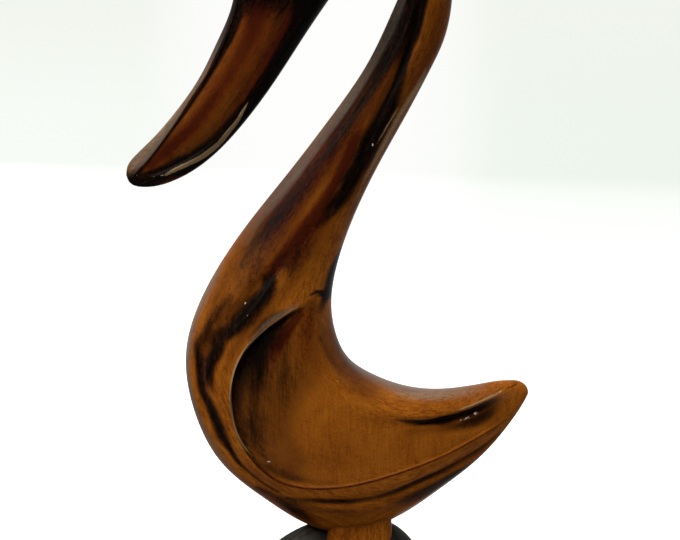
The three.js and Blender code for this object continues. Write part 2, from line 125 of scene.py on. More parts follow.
@dataclass
class SideLine:
    """A line drawn on the bird's side, in millimetres: x, z and then its own values at each point."""

    points: tuple[tuple[float, ...], ...]
    samples: int = 120
    least_slant: float = 0.3
    dense: np.ndarray = field(init=False)

    def __post_init__(self) -> None:
        """Draws the line smoothly through its points, with the distance between points as knots."""
        rows = np.array(self.points, float)
        knots = np.concatenate([[0.0], np.cumsum(np.hypot(*np.diff(rows[:, :2], axis=0).T))])
        self.dense = NaturalSpline(knots, rows).at(np.linspace(0.0, knots[-1], self.samples + 1))

    def nearest(self, x: np.ndarray, z: np.ndarray) -> tuple[np.ndarray, np.ndarray]:
        """Signed distance from the line, positive on the left of its run, and the line's values there.

        Every place is set against each short straight of the line in turn, and keeps the nearest foot.

        Args:
            x: Places along the bird.
            z: Heights of the places.

        Returns:
            The signed distances, and the line's own values at the nearest feet, one row per place.
        """
        best = np.full(x.shape, np.inf)
        side = np.ones(x.shape)
        values = np.zeros((*x.shape, self.dense.shape[1] - 2))
        for start, end in zip(self.dense[:-1], self.dense[1:]):
            run_x, run_z = end[0] - start[0], end[1] - start[1]
            off_x, off_z = x - start[0], z - start[1]
            share = np.clip((off_x * run_x + off_z * run_z) / (run_x**2 + run_z**2), 0.0, 1.0)
            off_x, off_z = off_x - share * run_x, off_z - share * run_z
            distance = np.hypot(off_x, off_z)
            closer = distance < best
            best = np.where(closer, distance, best)
            side = np.where(closer, np.where(run_x * off_z - run_z * off_x >= 0.0, 1.0, -1.0), side)
            blend = start[2:] + share[..., None] * (end[2:] - start[2:])
            values = np.where(closer[..., None], blend, values)
        return best * side, values

    def crossings(self, sections: np.ndarray) -> np.ndarray:
        """Where each section's straight from back edge to front edge crosses the line.

        The heights of the line's points over the straight change sign at a crossing.

        Args:
            sections: Rows of back x, back z, front x, front z.

        Returns:
            Rows of the share of the width, one millimetre across the line as a share, and the line's last
            value as a share; not a number where the line misses the section.
        """
        back, front = sections[:, :2], sections[:, 2:4]
        width = np.hypot(*(front - back).T)
        ux, uz = ((front - back) / width[:, None]).T
        off_x = self.dense[None, :, 0] - back[:, :1]
        off_z = self.dense[None, :, 1] - back[:, 1:]
        height = ux[:, None] * off_z - uz[:, None] * off_x
        reach = (ux[:, None] * off_x + uz[:, None] * off_z) / width[:, None]
        low, high = height[:, :-1], height[:, 1:]
        part = np.divide(low, low - high, out=np.zeros_like(low), where=low != high)
        share = reach[:, :-1] + part * np.diff(reach, axis=1)
        hit = (low * high <= 0.0) & (low != high) & (share > 0.0) & (share < 1.0)
        first = np.argmax(hit, axis=1)
        rows = np.arange(len(sections))
        run = np.hypot(*np.diff(self.dense[:, :2], axis=0).T)[first]
        slant = np.maximum(np.abs(high - low)[rows, first] / run, self.least_slant)
        last = self.dense[first, -1] + part[rows, first] * (self.dense[first + 1, -1] - self.dense[first, -1])
        found = np.stack([share[rows, first], 1.0 / (slant * width), last / (slant * width)], axis=1)
        found[~hit.any(axis=1)] = np.nan
        return found


class Place(Enum):
    """Sections across the bird, from the bill's tip over the head and down the neck to the tail.

    Each holds back edge x, z, front edge x, z and half thickness, in millimetres.
    """

    BILL_TIP = (-90.5, 184.8, -90.5, 184.8, 0.0)
    BILL_TIP_ROUND = (-89.9, 188.4, -88.8, 181.4, 2.6)
    BILL_END = (-86.7, 192.9, -82.8, 179.7, 3.7)
    BILL_LOW = (-78.8, 200.6, -69.9, 182.6, 4.9)
    BILL_MIDDLE = (-68.5, 212.6, -55.2, 191.7, 6.2)
    BILL_UPPER = (-59.6, 225.2, -42.0, 205.1, 7.6)
    BILL_ROOT = (-52.0, 240.1, -27.4, 224.4, 9.4)
    FACE = (-45.4, 256.1, -13.0, 246.3, 11.6)
    BROW = (-42.6, 274.0, -0.2, 264.9, 13.6)
    FOREHEAD = (-36.9, 291.4, 7.8, 276.3, 14.6)
    CROWN_FRONT = (-20.9, 305.5, 13.2, 280.5, 14.8)
    CROWN = (2.5, 310.2, 18.0, 280.7, 14.2)
    CROWN_BACK = (24.3, 304.9, 22.9, 276.7, 13.3)
    NAPE_TOP = (40.4, 289.4, 25.8, 270.1, 12.4)
    NAPE = (46.9, 269.9, 26.0, 263.6, 11.9)
    NECK_TOP = (46.0, 250.3, 23.3, 256.4, 11.7)
    NECK_UPPER = (39.0, 231.1, 15.4, 239.0, 11.9)
    NECK_MIDDLE = (27.9, 210.1, 5.7, 222.5, 12.3)
    NECK_LOWER = (16.2, 189.0, -7.0, 205.1, 13.2)
    NECK_BASE = (6.1, 167.9, -22.3, 185.3, 15.6)
    SHOULDER = (-0.2, 150.5, -38.7, 164.8, 19.2)
    BREAST_TOP = (-3.4, 135.1, -52.7, 144.3, 22.8)
    BREAST = (-2.7, 121.4, -62.4, 124.0, 25.4)
    BREAST_LOW = (2.3, 108.6, -65.7, 105.2, 26.8)
    BELLY_FRONT = (13.2, 100.2, -61.6, 82.9, 27.3)
    BELLY = (26.7, 95.1, -50.3, 61.9, 26.6)
    BELLY_LOW = (39.7, 93.4, -30.5, 45.5, 24.4)
    KEEL = (50.8, 94.2, -4.3, 32.6, 20.8)
    KEEL_BACK = (59.8, 95.7, 22.2, 37.6, 16.4)
    UNDER_TAIL = (67.5, 97.1, 43.3, 51.2, 12.0)
    TAIL_ROOT = (73.2, 97.4, 59.8, 64.4, 8.4)
    TAIL_END = (76.6, 97.0, 71.0, 76.9, 5.4)
    TAIL_TIP_ROUND = (79.3, 95.2, 77.1, 85.8, 3.7)
    TAIL_TIP_NEAR = (80.2, 93.4, 79.2, 89.4, 2.1)
    TAIL_TIP = (80.4, 91.6, 80.4, 91.6, 0.0)


# The carved lines: each point holds x, z, the depth and the width of the soft flank, in millimetres.
LONG_GOUGE = (
    (33.5, 256.1, 1.9, 3.6), (30.7, 243.3, 2.2, 3.6), (24.5, 227.2, 1.8, 3.2), (15.8, 209.4, 1.6, 3.2),
    (5.8, 187.4, 1.1, 3.8), (-5.0, 171.3, 0.5, 4.2), (-16.6, 157.4, 0.3, 4.6), (-27.7, 145.1, 0.7, 4.4),
    (-37.1, 133.6, 2.2, 5.0), (-46.2, 122.8, 2.0, 5.6), (-54.4, 112.6, 1.9, 5.0), (-57.9, 102.3, 1.7, 4.6),
    (-55.9, 91.3, 1.7, 4.6), (-50.9, 80.1, 1.7, 4.6), (-43.9, 68.3, 1.6, 4.6), (-31.8, 56.7, 1.5, 4.4),
    (-18.4, 49.7, 1.3, 4.0), (-2.5, 48.5, 1.2, 4.0), (14.6, 50.4, 1.3, 4.4), (32.3, 56.6, 1.5, 5.0),
    (48.5, 64.4, 1.5, 4.6), (64.9, 73.8, 1.1, 3.6), (74.0, 81.0, 0.4, 2.4),
)
FLAT_GOUGE = (
    (30.3, 260.6, 0.7, 2.2), (27.0, 252.1, 1.5, 2.2), (22.0, 240.1, 1.4, 2.2), (15.7, 228.7, 1.2, 2.4),
    (7.3, 215.4, 1.0, 2.6), (-3.7, 200.7, 0.6, 3.0), (-16.6, 185.8, 0.3, 3.4), (-30.1, 171.1, 0.0, 3.4),
)
WING_LEDGE = (
    (-5.4, 137.7, 0.2, 3.4), (-16.5, 131.5, 1.4, 2.2), (-28.8, 124.2, 2.1, 1.8), (-38.2, 115.0, 2.3, 1.7),
    (-43.6, 103.4, 2.3, 1.7), (-45.4, 92.1, 2.1, 1.7), (-43.4, 80.2, 1.5, 1.8), (-38.2, 68.6, 0.5, 2.0),
    (-27.9, 58.3, -0.5, 1.8), (-12.9, 54.5, -1.1, 1.5), (2.9, 55.4, -1.3, 1.4), (23.7, 60.5, -1.35, 1.4),
    (44.4, 67.6, -1.4, 1.4), (64.7, 77.6, -1.4, 1.6), (75.3, 83.2, -1.5, 1.8),
)
SHOULDER_LEDGE = (
    (-4.3, 135.7, 0.0, 14.0), (-7.9, 126.8, 0.0, 16.0), (-7.9, 117.8, 0.0, 18.0), (-3.7, 105.8, 0.0, 18.0),
    (5.8, 96.0, 0.0, 15.0), (18.6, 88.5, 0.2, 9.0), (31.2, 84.9, 1.0, 4.2), (41.8, 85.1, 1.8, 3.2),
    (54.6, 88.1, 1.4, 3.0), (68.9, 93.7, 0.0, 6.5),
)
CULMEN_LEDGE = (
    (-40.3, 273.2, 0.0, 3.0), (-43.1, 256.8, 0.4, 1.6), (-47.1, 243.5, 0.4, 1.2), (-54.8, 227.9, 0.3, 1.0),
    (-65.5, 211.5, 0.2, 1.0), (-76.5, 196.8, 0.0, 1.0), (-83.0, 188.8, 0.0, 1.2),
)
BILL_RIM = (
    (2.1, 269.4, 0.0, 12.0), (-9.1, 258.3, 0.4, 10.0), (-19.6, 241.9, 0.8, 8.0), (-32.2, 222.4, 0.9, 5.6),
    (-43.6, 206.8, 1.0, 3.6), (-56.3, 194.5, 0.9, 2.8), (-70.3, 186.7, 0.5, 2.2), (-79.2, 183.1, 0.2, 2.0),
)


class Tone(Enum):
    """What a stroke lays on the wood; the value names the mesh attribute that holds it."""

    # Dark stain, and painted shade in hollows, under ledges and beside walls.
    DARK = "stain_dark"
    # Red stain, and a painted reddish sheen on the nape.
    RED = "stain_red"
    # Pale wear, and painted sheen and highlights on rims, flats and crests.
    WORN = "worn"
    # Grey rubbing, and painted sheen on flats and rims.
    GREY = "rubbed_grey"


@dataclass
class Stroke:
    """A mark laid along a line on the bird's side: stain, wear, painted shade and painted sheen alike.

    Its points hold x, z, the width on the left of its run and the width on the right, in millimetres, and
    the strength.
    """

    name: str
    tone: Tone
    softness: float
    points: tuple[tuple[float, ...], ...]
    samples_per_point: int = 8

    def cover(self, x: np.ndarray, z: np.ndarray) -> np.ndarray:
        """Strength of the stroke: full near its line, eased down to nothing at its width.

        Args:
            x: Places along the bird, in millimetres.
            z: Heights of the places.

        Returns:
            The cover from 0 to 1.
        """
        table = np.array(self.points)
        reach = table[:, 2:4].max() + 1.0
        low, high = table[:, :2].min(axis=0) - reach, table[:, :2].max(axis=0) + reach
        near = (x > low[0]) & (x < high[0]) & (z > low[1]) & (z < high[1])
        cover = np.zeros(x.shape)
        line = SideLine(self.points, self.samples_per_point * len(self.points))
        signed, values = line.nearest(x[near], z[near])
        width = np.maximum(np.where(signed > 0.0, values[:, 0], values[:, 1]), LEAST_WIDTH)
        edge = (np.abs(signed) / width - (1.0 - self.softness)) / self.softness
        cover[near] = np.clip(values[:, 2], 0.0, 1.0) * (1.0 - eased(edge))
        return cover


# Stains, wear, painted shade and painted sheen and highlights, each stroke in one tone.
STROKES = (
    Stroke("dark line behind the neck flat", Tone.DARK, 0.7, (
        (28.8, 260.8, 2.4, 2.4, 0.6), (28.2, 255.8, 2.4, 2.4, 0.65), (22.8, 247.2, 2.4, 2.4, 0.65),
        (18.4, 234.8, 2.4, 2.4, 0.65), (12.8, 225.6, 2, 2.4, 0.6), (5.8, 216.2, 2, 2, 0.45),
        (-0.4, 207.8, 2, 2, 0.35), (-8.8, 197.4, 2, 2, 0.25),
    )),
    Stroke("smoke of the bill panel's tip", Tone.DARK, 1, (
        (-58, 210, 6.5, 7.5, 0.05), (-71, 197, 4.5, 6.5, 0.1), (-80, 188, 2.5, 3.5, 0.1),
    )),
    # Painted sheen on the neck's flat, laid as grey over the stain.
    Stroke("grey of the neck flat", Tone.GREY, 0.6, (
        (26.7, 266.1, 3.4, 5.1, 0.4), (25.1, 257.9, 3.8, 5.1, 0.45), (21.7, 249.6, 4.2, 5.1, 0.45),
        (13.8, 232.9, 3.8, 5.1, 0.5), (3.4, 216.3, 3.8, 5.1, 0.7), (-2.5, 207.9, 3.8, 5.1, 0.7),
        (-9.2, 199.5, 4.2, 5.1, 0.7), (-15.1, 191.2, 4.2, 5.1, 0.65), (-21.4, 182.8, 3.8, 5.1, 0.55),
        (-28, 174.5, 3.8, 5.1, 0.45), (-34.3, 166.2, 2.5, 5.1, 0.35), (-39.2, 157.9, 2.5, 5.1, 0.25),
    )),
    Stroke("stain of the neck flat", Tone.DARK, 0.67, (
        (26.7, 266.1, 3.9, 5.9, 0.85), (25.1, 257.9, 4.9, 5.9, 0.9), (21.7, 249.6, 4.9, 5.9, 0.9),
        (13.8, 232.9, 4.9, 5.9, 0.7), (8.8, 224.6, 4.9, 5.9, 0.4), (-2.5, 207.9, 5.4, 5.9, 0.2),
        (-28, 174.5, 5.4, 5.9, 0.1),
    )),
    Stroke("black pocket at the neck's top", Tone.DARK, 0.35, (
        (33.5, 263.7, 3.8, 4.7, 1), (31.5, 257.2, 3.8, 4.2, 1), (29.8, 249, 4.7, 4.7, 1),
        (28.8, 245.7, 4.2, 4.7, 1), (28.6, 243.7, 3.4, 3.4, 0.7), (28.6, 242, 2.1, 2.1, 0.2),
    )),
    Stroke("groove beside the neck flat", Tone.DARK, 1, (
        (25.6, 246.6, 4.9, 4.4, 1), (24.4, 243.4, 4.9, 4.4, 1), (23.2, 240, 4.9, 3.9, 1),
        (19.2, 231.8, 3.9, 3.9, 1), (17, 227.6, 3.9, 3.4, 1), (12.4, 220.2, 3.9, 3.4, 0.9),
        (9.6, 216, 3.9, 3.4, 0.9), (7, 212, 3.9, 3.9, 0.85), (4.2, 207.8, 4.2, 4.4, 0.8),
        (1.6, 203.6, 4.4, 4.4, 0.75), (-1.6, 199.6, 4.6, 4.4, 0.7), (-4.2, 195.2, 4.2, 4.2, 0.7),
        (-8, 191.2, 3.9, 3.9, 0.65), (-14, 182.8, 4.6, 4.4, 0.45), (-17.4, 178.8, 4.9, 4.4, 0.4),
        (-35.6, 156.8, 4.4, 3.9, 0.25), (-43, 142.4, 3.4, 2.9, 0.1),
    )),
    Stroke("shade between groove and flute", Tone.DARK, 1, (
        (29.5, 245.5, 4.5, 4.5, 0.95), (26.5, 240, 4.5, 4.5, 0.85), (18.5, 223.5, 4.5, 4.5, 0.4),
        (13.5, 214.5, 4.5, 4.5, 0.4), (3, 199.5, 4.5, 5, 0.4), (-15.5, 175.5, 7, 7, 0.45),
        (-27.5, 158, 7, 7, 0.3), (-37, 141, 6, 7, 0.2),
    )),
    Stroke("red between groove and flute", Tone.RED, 1, (
        (25, 239, 4, 4, 0.4), (18, 222, 4.5, 4.5, 0.4), (-3, 192, 5.5, 6, 0.45), (-27, 158, 7.5, 8.5, 0.5),
        (-37, 141, 6, 8.5, 0.4),
    )),
    Stroke("shade right of the red streak", Tone.DARK, 1, (
        (-3, 173, 4, 3, 0.15), (-8, 166, 5, 3.5, 0.3), (-12, 159, 6, 4, 0.35), (-17, 152, 6, 4, 0.5),
        (-21, 146, 6, 4, 0.35),
    )),
    Stroke("red right of the red streak", Tone.RED, 1, (
        (-3, 173, 5, 3.5, 0.4), (-12, 160, 7, 4, 0.6), (-21, 148, 6, 4, 0.4),
    )),
    Stroke("neck flute", Tone.DARK, 0.82, (
        (35.2, 260.4, 3.9, 3.9, 1), (32.2, 249.2, 3.9, 3.4, 1), (30.8, 244.2, 4.3, 2.9, 1),
        (29.6, 240, 3.4, 2.4, 1), (28, 236.4, 3.4, 2.4, 1), (26.8, 232.6, 3.4, 2.4, 1),
        (25.2, 228.4, 3.4, 2.4, 1), (23.8, 224.4, 3.4, 2.4, 1), (22.2, 220.2, 3.4, 2.7, 1),
        (17, 207.8, 5.5, 4.6, 1), (15, 203.6, 4.9, 5.4, 1), (12.4, 199.6, 5.4, 5.9, 1),
        (10.8, 195.2, 5.4, 5.9, 1), (8.8, 191.2, 4.9, 5.4, 1), (7, 187, 5.1, 5.4, 1),
        (4.6, 182.8, 5.4, 6.2, 1), (2.4, 178.6, 5.4, 4.8, 0.95), (-0.6, 174.6, 5.4, 5.1, 0.95),
        (-7, 166.8, 4.4, 2.9, 0.55), (-9, 164, 3.4, 2.9, 0.3),
    )),
    Stroke("flank right of the flute", Tone.DARK, 1, (
        (26.6, 228.4, 3.4, 2, 0.45), (25.2, 222.6, 3.9, 2, 0.6), (23.2, 217.2, 4.4, 2.4, 0.75),
        (21.2, 212, 4.4, 2.4, 0.8), (16.6, 201, 4.4, 2.4, 0.7), (14.2, 195.2, 4.4, 2.4, 0.6),
        (10.8, 188.6, 3.9, 2.4, 0.5),
    )),
    Stroke("red beside the flute", Tone.RED, 0.8, (
        (9.1, 204.4, 1.7, 2.1, 0.4), (6.2, 198.6, 2.5, 3.4, 0.9), (3.7, 192.8, 3, 3.8, 1),
        (1.2, 187.9, 3, 3.8, 0.85), (-1.2, 182.9, 3.4, 3.8, 0.85), (-4.6, 177.1, 3.4, 4.2, 0.85),
        (-15.7, 160.7, 5.1, 6, 0.85), (-23.1, 150.9, 4.7, 6, 0.85), (-27.2, 146, 4.2, 4.2, 0.8),
        (-30.5, 141.9, 3.4, 2.5, 0.5),
    )),
    Stroke("shade beside the flute", Tone.DARK, 1, (
        (7, 200, 3, 3, 0.25), (-3, 180, 4, 4.5, 0.3), (-9, 170, 4.5, 4.5, 0.3), (-13, 164, 5, 6, 0.45),
        (-26, 147, 5, 5, 0.55), (-30, 143, 4, 4, 0.65),
    )),
    Stroke("shade above the wing", Tone.DARK, 1, (
        (-6, 160, 6, 6, 0.1), (-13, 151, 8, 7.5, 0.3), (-28, 132, 6, 6, 0.3), (-36, 124, 6, 5, 0.35),
        (-46, 108, 5, 3, 0.3), (-48, 97, 4, 3, 0.2),
    )),
    Stroke("smoke left of the breast gouge", Tone.DARK, 1, (
        (-32, 147, 7, 6, 0.15), (-54, 114, 6, 5, 0.3), (-58, 98, 4, 4, 0.15),
    )),
    Stroke("breast gouge", Tone.DARK, 0.85, (
        (-27.6, 143.1, 2, 2.9, 0.9), (-28.4, 140.3, 3.4, 5.4, 1), (-30.2, 137.1, 5.3, 4.9, 1),
        (-33.9, 133, 5.9, 5.6, 1), (-38, 128.8, 6.5, 5.6, 1), (-41.8, 124.7, 6.5, 5.3, 1),
        (-45.7, 120.7, 5.1, 4.6, 0.95), (-49.5, 116.5, 5.1, 5.9, 0.85), (-50.7, 112.6, 4.6, 4.8, 1),
        (-52.9, 108.4, 4.4, 4.4, 0.9), (-54.2, 102.4, 3.9, 4, 0.85), (-53.4, 96.2, 3.9, 3.5, 0.4),
    )),
    Stroke("outer breast streak", Tone.DARK, 0.95, (
        (-46.2, 134.4, 2.4, 2.4, 0.2), (-50, 129.2, 2.9, 2.9, 0.35), (-53.4, 124.4, 2.9, 3.4, 0.45),
        (-55.8, 119.2, 3.4, 3.4, 0.55), (-59.2, 114, 3.8, 3.8, 0.65), (-58.8, 108.8, 3.8, 3.2, 0.85),
        (-58.6, 104, 3.2, 3.2, 0.9), (-58, 99.6, 3.2, 3.2, 0.9), (-57.4, 95, 3.5, 3.2, 0.9),
        (-55, 90.6, 4.4, 3.8, 0.9), (-52.8, 86, 4.4, 4.4, 0.95), (-50.8, 81, 4.8, 4.8, 0.95),
        (-48.8, 75.8, 4.8, 4.8, 0.9), (-46, 70.8, 2.7, 2.7, 0.9), (-43.2, 66, 2, 2, 0.8),
        (-39, 61.6, 1.5, 1.5, 0.65), (-32.8, 56.4, 1.2, 1.2, 0.6), (-25.2, 51.8, 1.5, 1.2, 0.5),
    )),
    Stroke("red of the neck flat", Tone.RED, 1, (
        (16.6, 232, 4.2, 3.4, 0.5), (-7.6, 197, 7.6, 5.1, 0.6), (-20, 180.4, 9.3, 6, 0.6),
        (-30.8, 167, 10.2, 6, 0.5),
    )),
    Stroke("smoke of the upper breast", Tone.DARK, 1, (
        (13, 231, 3, 3.5, 0.3), (4, 216, 4, 4.5, 0.3), (-4, 201, 5.5, 6, 0.35), (-13, 191, 8, 7, 0.35),
        (-22, 181, 11.5, 8, 0.4), (-29, 172, 18.5, 9, 0.4), (-35, 164, 24.5, 9, 0.45),
        (-40, 156, 26.5, 8.5, 0.4), (-53, 129, 13.5, 6, 0.35), (-59, 110, 6, 4.5, 0.2),
    )),
    Stroke("upper breast streak", Tone.DARK, 1, (
        (-17, 176, 3.5, 3.5, 0.3), (-29, 163, 4, 4, 0.4), (-35, 155, 4, 4, 0.2), (-39, 148, 4, 4, 0.1),
    )),
    Stroke("shade above the wing's line", Tone.DARK, 1, (
        (-30, 63.5, 3, 2, 0.3), (-21, 59, 3, 2, 0.4), (-11.5, 57.5, 3, 2, 0.3), (-2, 57, 3, 2, 0.2),
    )),
    Stroke("gouge under the wing", Tone.DARK, 1, (
        (-21.8, 49.6, 1.5, 2.4, 0.3), (-15.2, 49.2, 2, 2.4, 0.5), (-7.6, 49, 2.4, 2.4, 0.7),
        (2, 48.8, 2.4, 2.4, 0.75), (10.8, 49.8, 2, 2.4, 0.55), (20.4, 52, 2, 2.7, 0.7),
        (34.8, 57.8, 1.5, 2.9, 0.85), (42.4, 60.8, 1.2, 3.4, 0.75), (50.8, 64.8, 1.2, 3.4, 0.6),
        (59.2, 69.4, 1, 3.4, 0.55), (68, 75.6, 1, 2.4, 0.45),
    )),
    Stroke("underside of the tail", Tone.DARK, 1, (
        (-1.6, 42, 4.4, 4.9, 0.15), (10.4, 44.8, 4.4, 5.9, 0.15), (21, 46.8, 4.4, 6.8, 0.25),
        (29.4, 49.8, 3.9, 7.3, 0.65), (38.8, 53.6, 3.4, 7.8, 0.7), (48.8, 58.4, 2.9, 7.8, 0.75),
        (59.2, 63.8, 2.4, 6.8, 0.75), (68.4, 72.8, 2, 4.4, 0.7),
    )),
    # Stain and painted shade inside the wing's ledge.
    Stroke("inside the wing's ledge", Tone.DARK, 0.7, (
        (-16.1, 130.2, 2, 0.5, 0.5), (-20.2, 128.3, 2.4, 0.5, 0.7), (-24.8, 125.3, 4.4, 0.5, 0.8),
        (-29.7, 121.7, 6.8, 0.5, 0.95), (-34.2, 117.7, 8.3, 0.5, 1), (-38.3, 113.2, 10.8, 0.5, 1),
        (-41.1, 108.7, 11.7, 0.5, 0.9), (-43.2, 104.2, 12.2, 0.5, 0.8), (-44.5, 99.2, 11.7, 0.5, 0.75),
        (-45.2, 94.1, 11.2, 0.5, 0.7), (-44.2, 84, 10.8, 0.5, 0.6), (-42.6, 78, 10.8, 0.5, 0.6),
        (-26.7, 58.5, 3.9, 0.5, 0.25), (-19.2, 56.1, 2.4, 0.5, 0.15),
    )),
    Stroke("dark beside the wing's ledge", Tone.DARK, 1, (
        (-27, 118, 6, 4, 0.5), (-31.5, 112.5, 6.5, 6, 0.7), (-33.5, 106.5, 6.5, 6, 0.7),
        (-35, 101, 6, 6, 0.6), (-36.5, 95, 5, 4, 0.35), (-37, 89, 4, 3, 0.1),
    )),
    Stroke("shade in the front of the wing", Tone.DARK, 1, (
        (-23.9, 121.2, 12.7, 2.9, 0.5), (-28.8, 113.9, 16.6, 3.9, 0.5), (-34.2, 99.1, 18.6, 3.9, 0.6),
        (-35.9, 85.7, 13.7, 2.9, 0.35), (-35.2, 78.9, 9.8, 2.4, 0.25),
    )),
    Stroke("shade of the wing's top", Tone.DARK, 1, (
        (-12, 130, 6, 3, 0.15), (-13, 123, 9, 7, 0.1), (-18, 106, 8, 6, 0.05),
    )),
    Stroke("shade of the hollow back", Tone.DARK, 1, (
        (-7, 134, 2, 2.5, 0.15), (-8, 126, 2, 3, 0.15), (-3, 109, 2, 3.5, 0.1), (10, 96, 2, 4, 0.05),
    )),
    Stroke("shade of the wing's front half", Tone.DARK, 1, (
        (-16, 117, 10, 10, 0.2), (-17, 106, 14.5, 11, 0.4), (-24, 78, 11, 11.5, 0.4),
        (-18, 66, 10, 11, 0.35),
    )),
    Stroke("shade at the wing's foot", Tone.DARK, 1, (
        (-37.2, 82.2, 12.7, 2, 0.45), (-34.8, 74.4, 12.7, 2, 0.45), (-25, 62.4, 7.8, 2.9, 0.35),
        (-16.6, 59.2, 4.9, 2.9, 0.2),
    )),
    Stroke("shade of the wing's middle", Tone.DARK, 1, (
        (-4, 120, 11, 7, 0.4), (4, 106, 14.5, 11, 0.5), (11, 96, 14.5, 11, 0.35),
    )),
    Stroke("red brown at the wing's top", Tone.DARK, 1, (
        (-11, 132, 5, 4, 0.3), (-12, 124, 7, 8, 0.3), (-11, 116, 8, 8, 0.2), (-9, 107, 9, 11, 0.2),
        (-5, 98, 10, 11, 0.15),
    )),
    Stroke("upright streak in the wing", Tone.DARK, 1, (
        (-21.5, 118, 3.5, 3, 0.2), (-23.5, 105, 4, 3.5, 0.25), (-25, 91, 3, 3, 0),
    )),
    Stroke("crease at the back of the wing", Tone.DARK, 1, (
        (-8.5, 117.5, 2, 1.5, 0.15), (-3.5, 107.5, 2, 1.5, 0.2), (0, 102.5, 2, 1.5, 0.1),
    )),
    Stroke("stain on the back's edge", Tone.DARK, 0.95, (
        (5, 165, 4, 1.6, 0.05), (4, 159, 4, 2, 0.2), (1.5, 154, 4, 2.4, 0.6), (-1, 149, 4, 2.8, 0.9),
        (-3, 144, 4, 3.4, 1), (-5.5, 135, 2.8, 2.8, 0.95), (-8, 128.5, 2, 2.8, 0.2),
    )),
    Stroke("stain at the wing's shoulder", Tone.DARK, 0.8, (
        (-14.9, 134.5, 0.6, 0.6, 0.3), (-12.4, 135.6, 0.8, 0.8, 0.75), (-10, 136.3, 1.2, 1.2, 0.95),
        (-7.9, 135.9, 2, 2, 0.95), (-5.4, 135.2, 2.9, 2.9, 0.9),
    )),
    # Painted shadow on the wall under the tail's ridge, over the stain in its corner.
    Stroke("wall under the tail ridge", Tone.DARK, 0.7, (
        (22.4, 83.7, 0.8, 0.8, 0.2), (26.6, 83.1, 1.1, 1.8, 0.5), (35.1, 82.2, 1.3, 2.2, 0.95),
        (39.3, 82.4, 1.7, 2.5, 1), (43.6, 83.1, 1.9, 3.6, 1), (47.9, 83.9, 1.7, 3, 0.9),
        (52.2, 85.2, 1.5, 3.4, 0.9), (56.4, 86.5, 1.5, 3.4, 0.9), (60.7, 88.3, 1.5, 3.2, 0.8),
        (67.6, 91.6, 1.1, 2.1, 0.3),
    )),
    Stroke("shade above the tail's wall", Tone.DARK, 1, (
        (35, 85, 2.5, 2, 0.05), (45, 87, 4.5, 3, 0.1), (61, 91, 3, 3, 0.05),
    )),
    Stroke("smear below the tail ridge", Tone.DARK, 1, (
        (23.5, 79, 4, 4, 0.1), (28.5, 78, 4.5, 4.5, 0.26), (34, 78.5, 4.5, 4.5, 0.26),
        (47, 79.5, 4, 4.5, 0.52), (54, 81, 4, 5.5, 0.73), (65, 86.5, 3.5, 6, 0.58), (69, 90, 2.5, 4, 0.24),
    )),
    Stroke("bill's dark border", Tone.DARK, 0.6, (
        (-0.8, 273.7, 17, 25.5, 1), (-7.5, 263.1, 17, 21.2, 1), (-12.9, 254.9, 17, 11.5, 1),
        (-16.2, 249.2, 16.1, 6, 1), (-19.6, 243.5, 15.3, 4.5, 1), (-27.9, 230.3, 13.6, 3.4, 1),
        (-37.2, 216.2, 10.2, 3.6, 1), (-58, 193.7, 6.8, 4.7, 1), (-79.2, 184.4, 6, 4.2, 0.9),
        (-84.4, 183.6, 6, 3, 0.75), (-88.5, 183.6, 3.4, 1.3, 0.5),
    )),
    Stroke("shade inside the bill's border", Tone.DARK, 1, (
        (-22.6, 257.2, 4.9, 9.8, 0.4), (-25.6, 245, 4.9, 7.8, 0.4), (-32.4, 232.6, 4.9, 6.8, 0.4),
        (-39.6, 221.2, 4.9, 6.4, 0.4), (-63, 195.4, 3.9, 4.9, 0.35), (-72.4, 190.4, 3.9, 4.4, 0.4),
    )),
    Stroke("red of the bill's border", Tone.RED, 1, (
        (-12.9, 254.9, 8.5, 14.4, 1), (-20.8, 242.6, 6.8, 12.8, 1), (-30, 227.8, 6, 11, 0.9),
        (-39.4, 213.7, 5.1, 9.3, 0.75), (-49.5, 201.2, 4.2, 6.8, 0.6),
    )),
    Stroke("edge of the culmen flat", Tone.DARK, 0.6, (
        (-40.3, 269.9, 5.1, 4.2, 1), (-42.4, 257.6, 5.1, 3.4, 1), (-44.6, 249.4, 5.1, 2.5, 0.95),
        (-47.5, 241.1, 3.8, 2.1, 0.9), (-51.4, 233.7, 3, 1.5, 0.85), (-55.6, 226.2, 2.5, 1.1, 0.8),
        (-60.8, 218.8, 2.5, 0.8, 0.75), (-65.4, 212.1, 2.1, 0.6, 0.7), (-70.5, 205.4, 2.1, 0.6, 0.65),
        (-75.6, 198.7, 2.1, 0.6, 0.65), (-80.3, 192.8, 2.5, 0.6, 0.65), (-83.8, 188.6, 3, 0.8, 0.6),
        (-86.8, 185.3, 3, 2.1, 0.5),
    )),
    Stroke("shade at the bill's root", Tone.DARK, 1, (
        (-43.5, 264.6, 13.4, 16.6, 1), (-32.2, 262.9, 14.7, 17.6, 1), (-19.8, 261.2, 14.7, 18.6, 0.9),
    )),
    Stroke("streaks at the bill's root", Tone.DARK, 1, (
        (-37.5, 256.5, 5, 5, 0.6), (-37.5, 249, 4, 4, 0.3), (-36.5, 242.5, 3, 3, 0.1),
    )),
    # Painted sheen on the culmen's flat, laid as grey.
    Stroke("grey of the culmen flat", Tone.GREY, 0.35, (
        (-43.6, 270.7, 2.1, 2.5, 0.3), (-45.8, 256.6, 1.7, 3.4, 0.35), (-49.4, 243.8, 1.7, 3.4, 0.5),
        (-53.7, 234.7, 1.5, 3.4, 0.75), (-58.4, 226.4, 1.9, 3.4, 0.9), (-63.6, 218.9, 2.1, 3.4, 1),
        (-68.2, 212.2, 2.5, 3.4, 1), (-78.3, 199.1, 3.6, 3.4, 1), (-83.4, 193.3, 4, 3.4, 1),
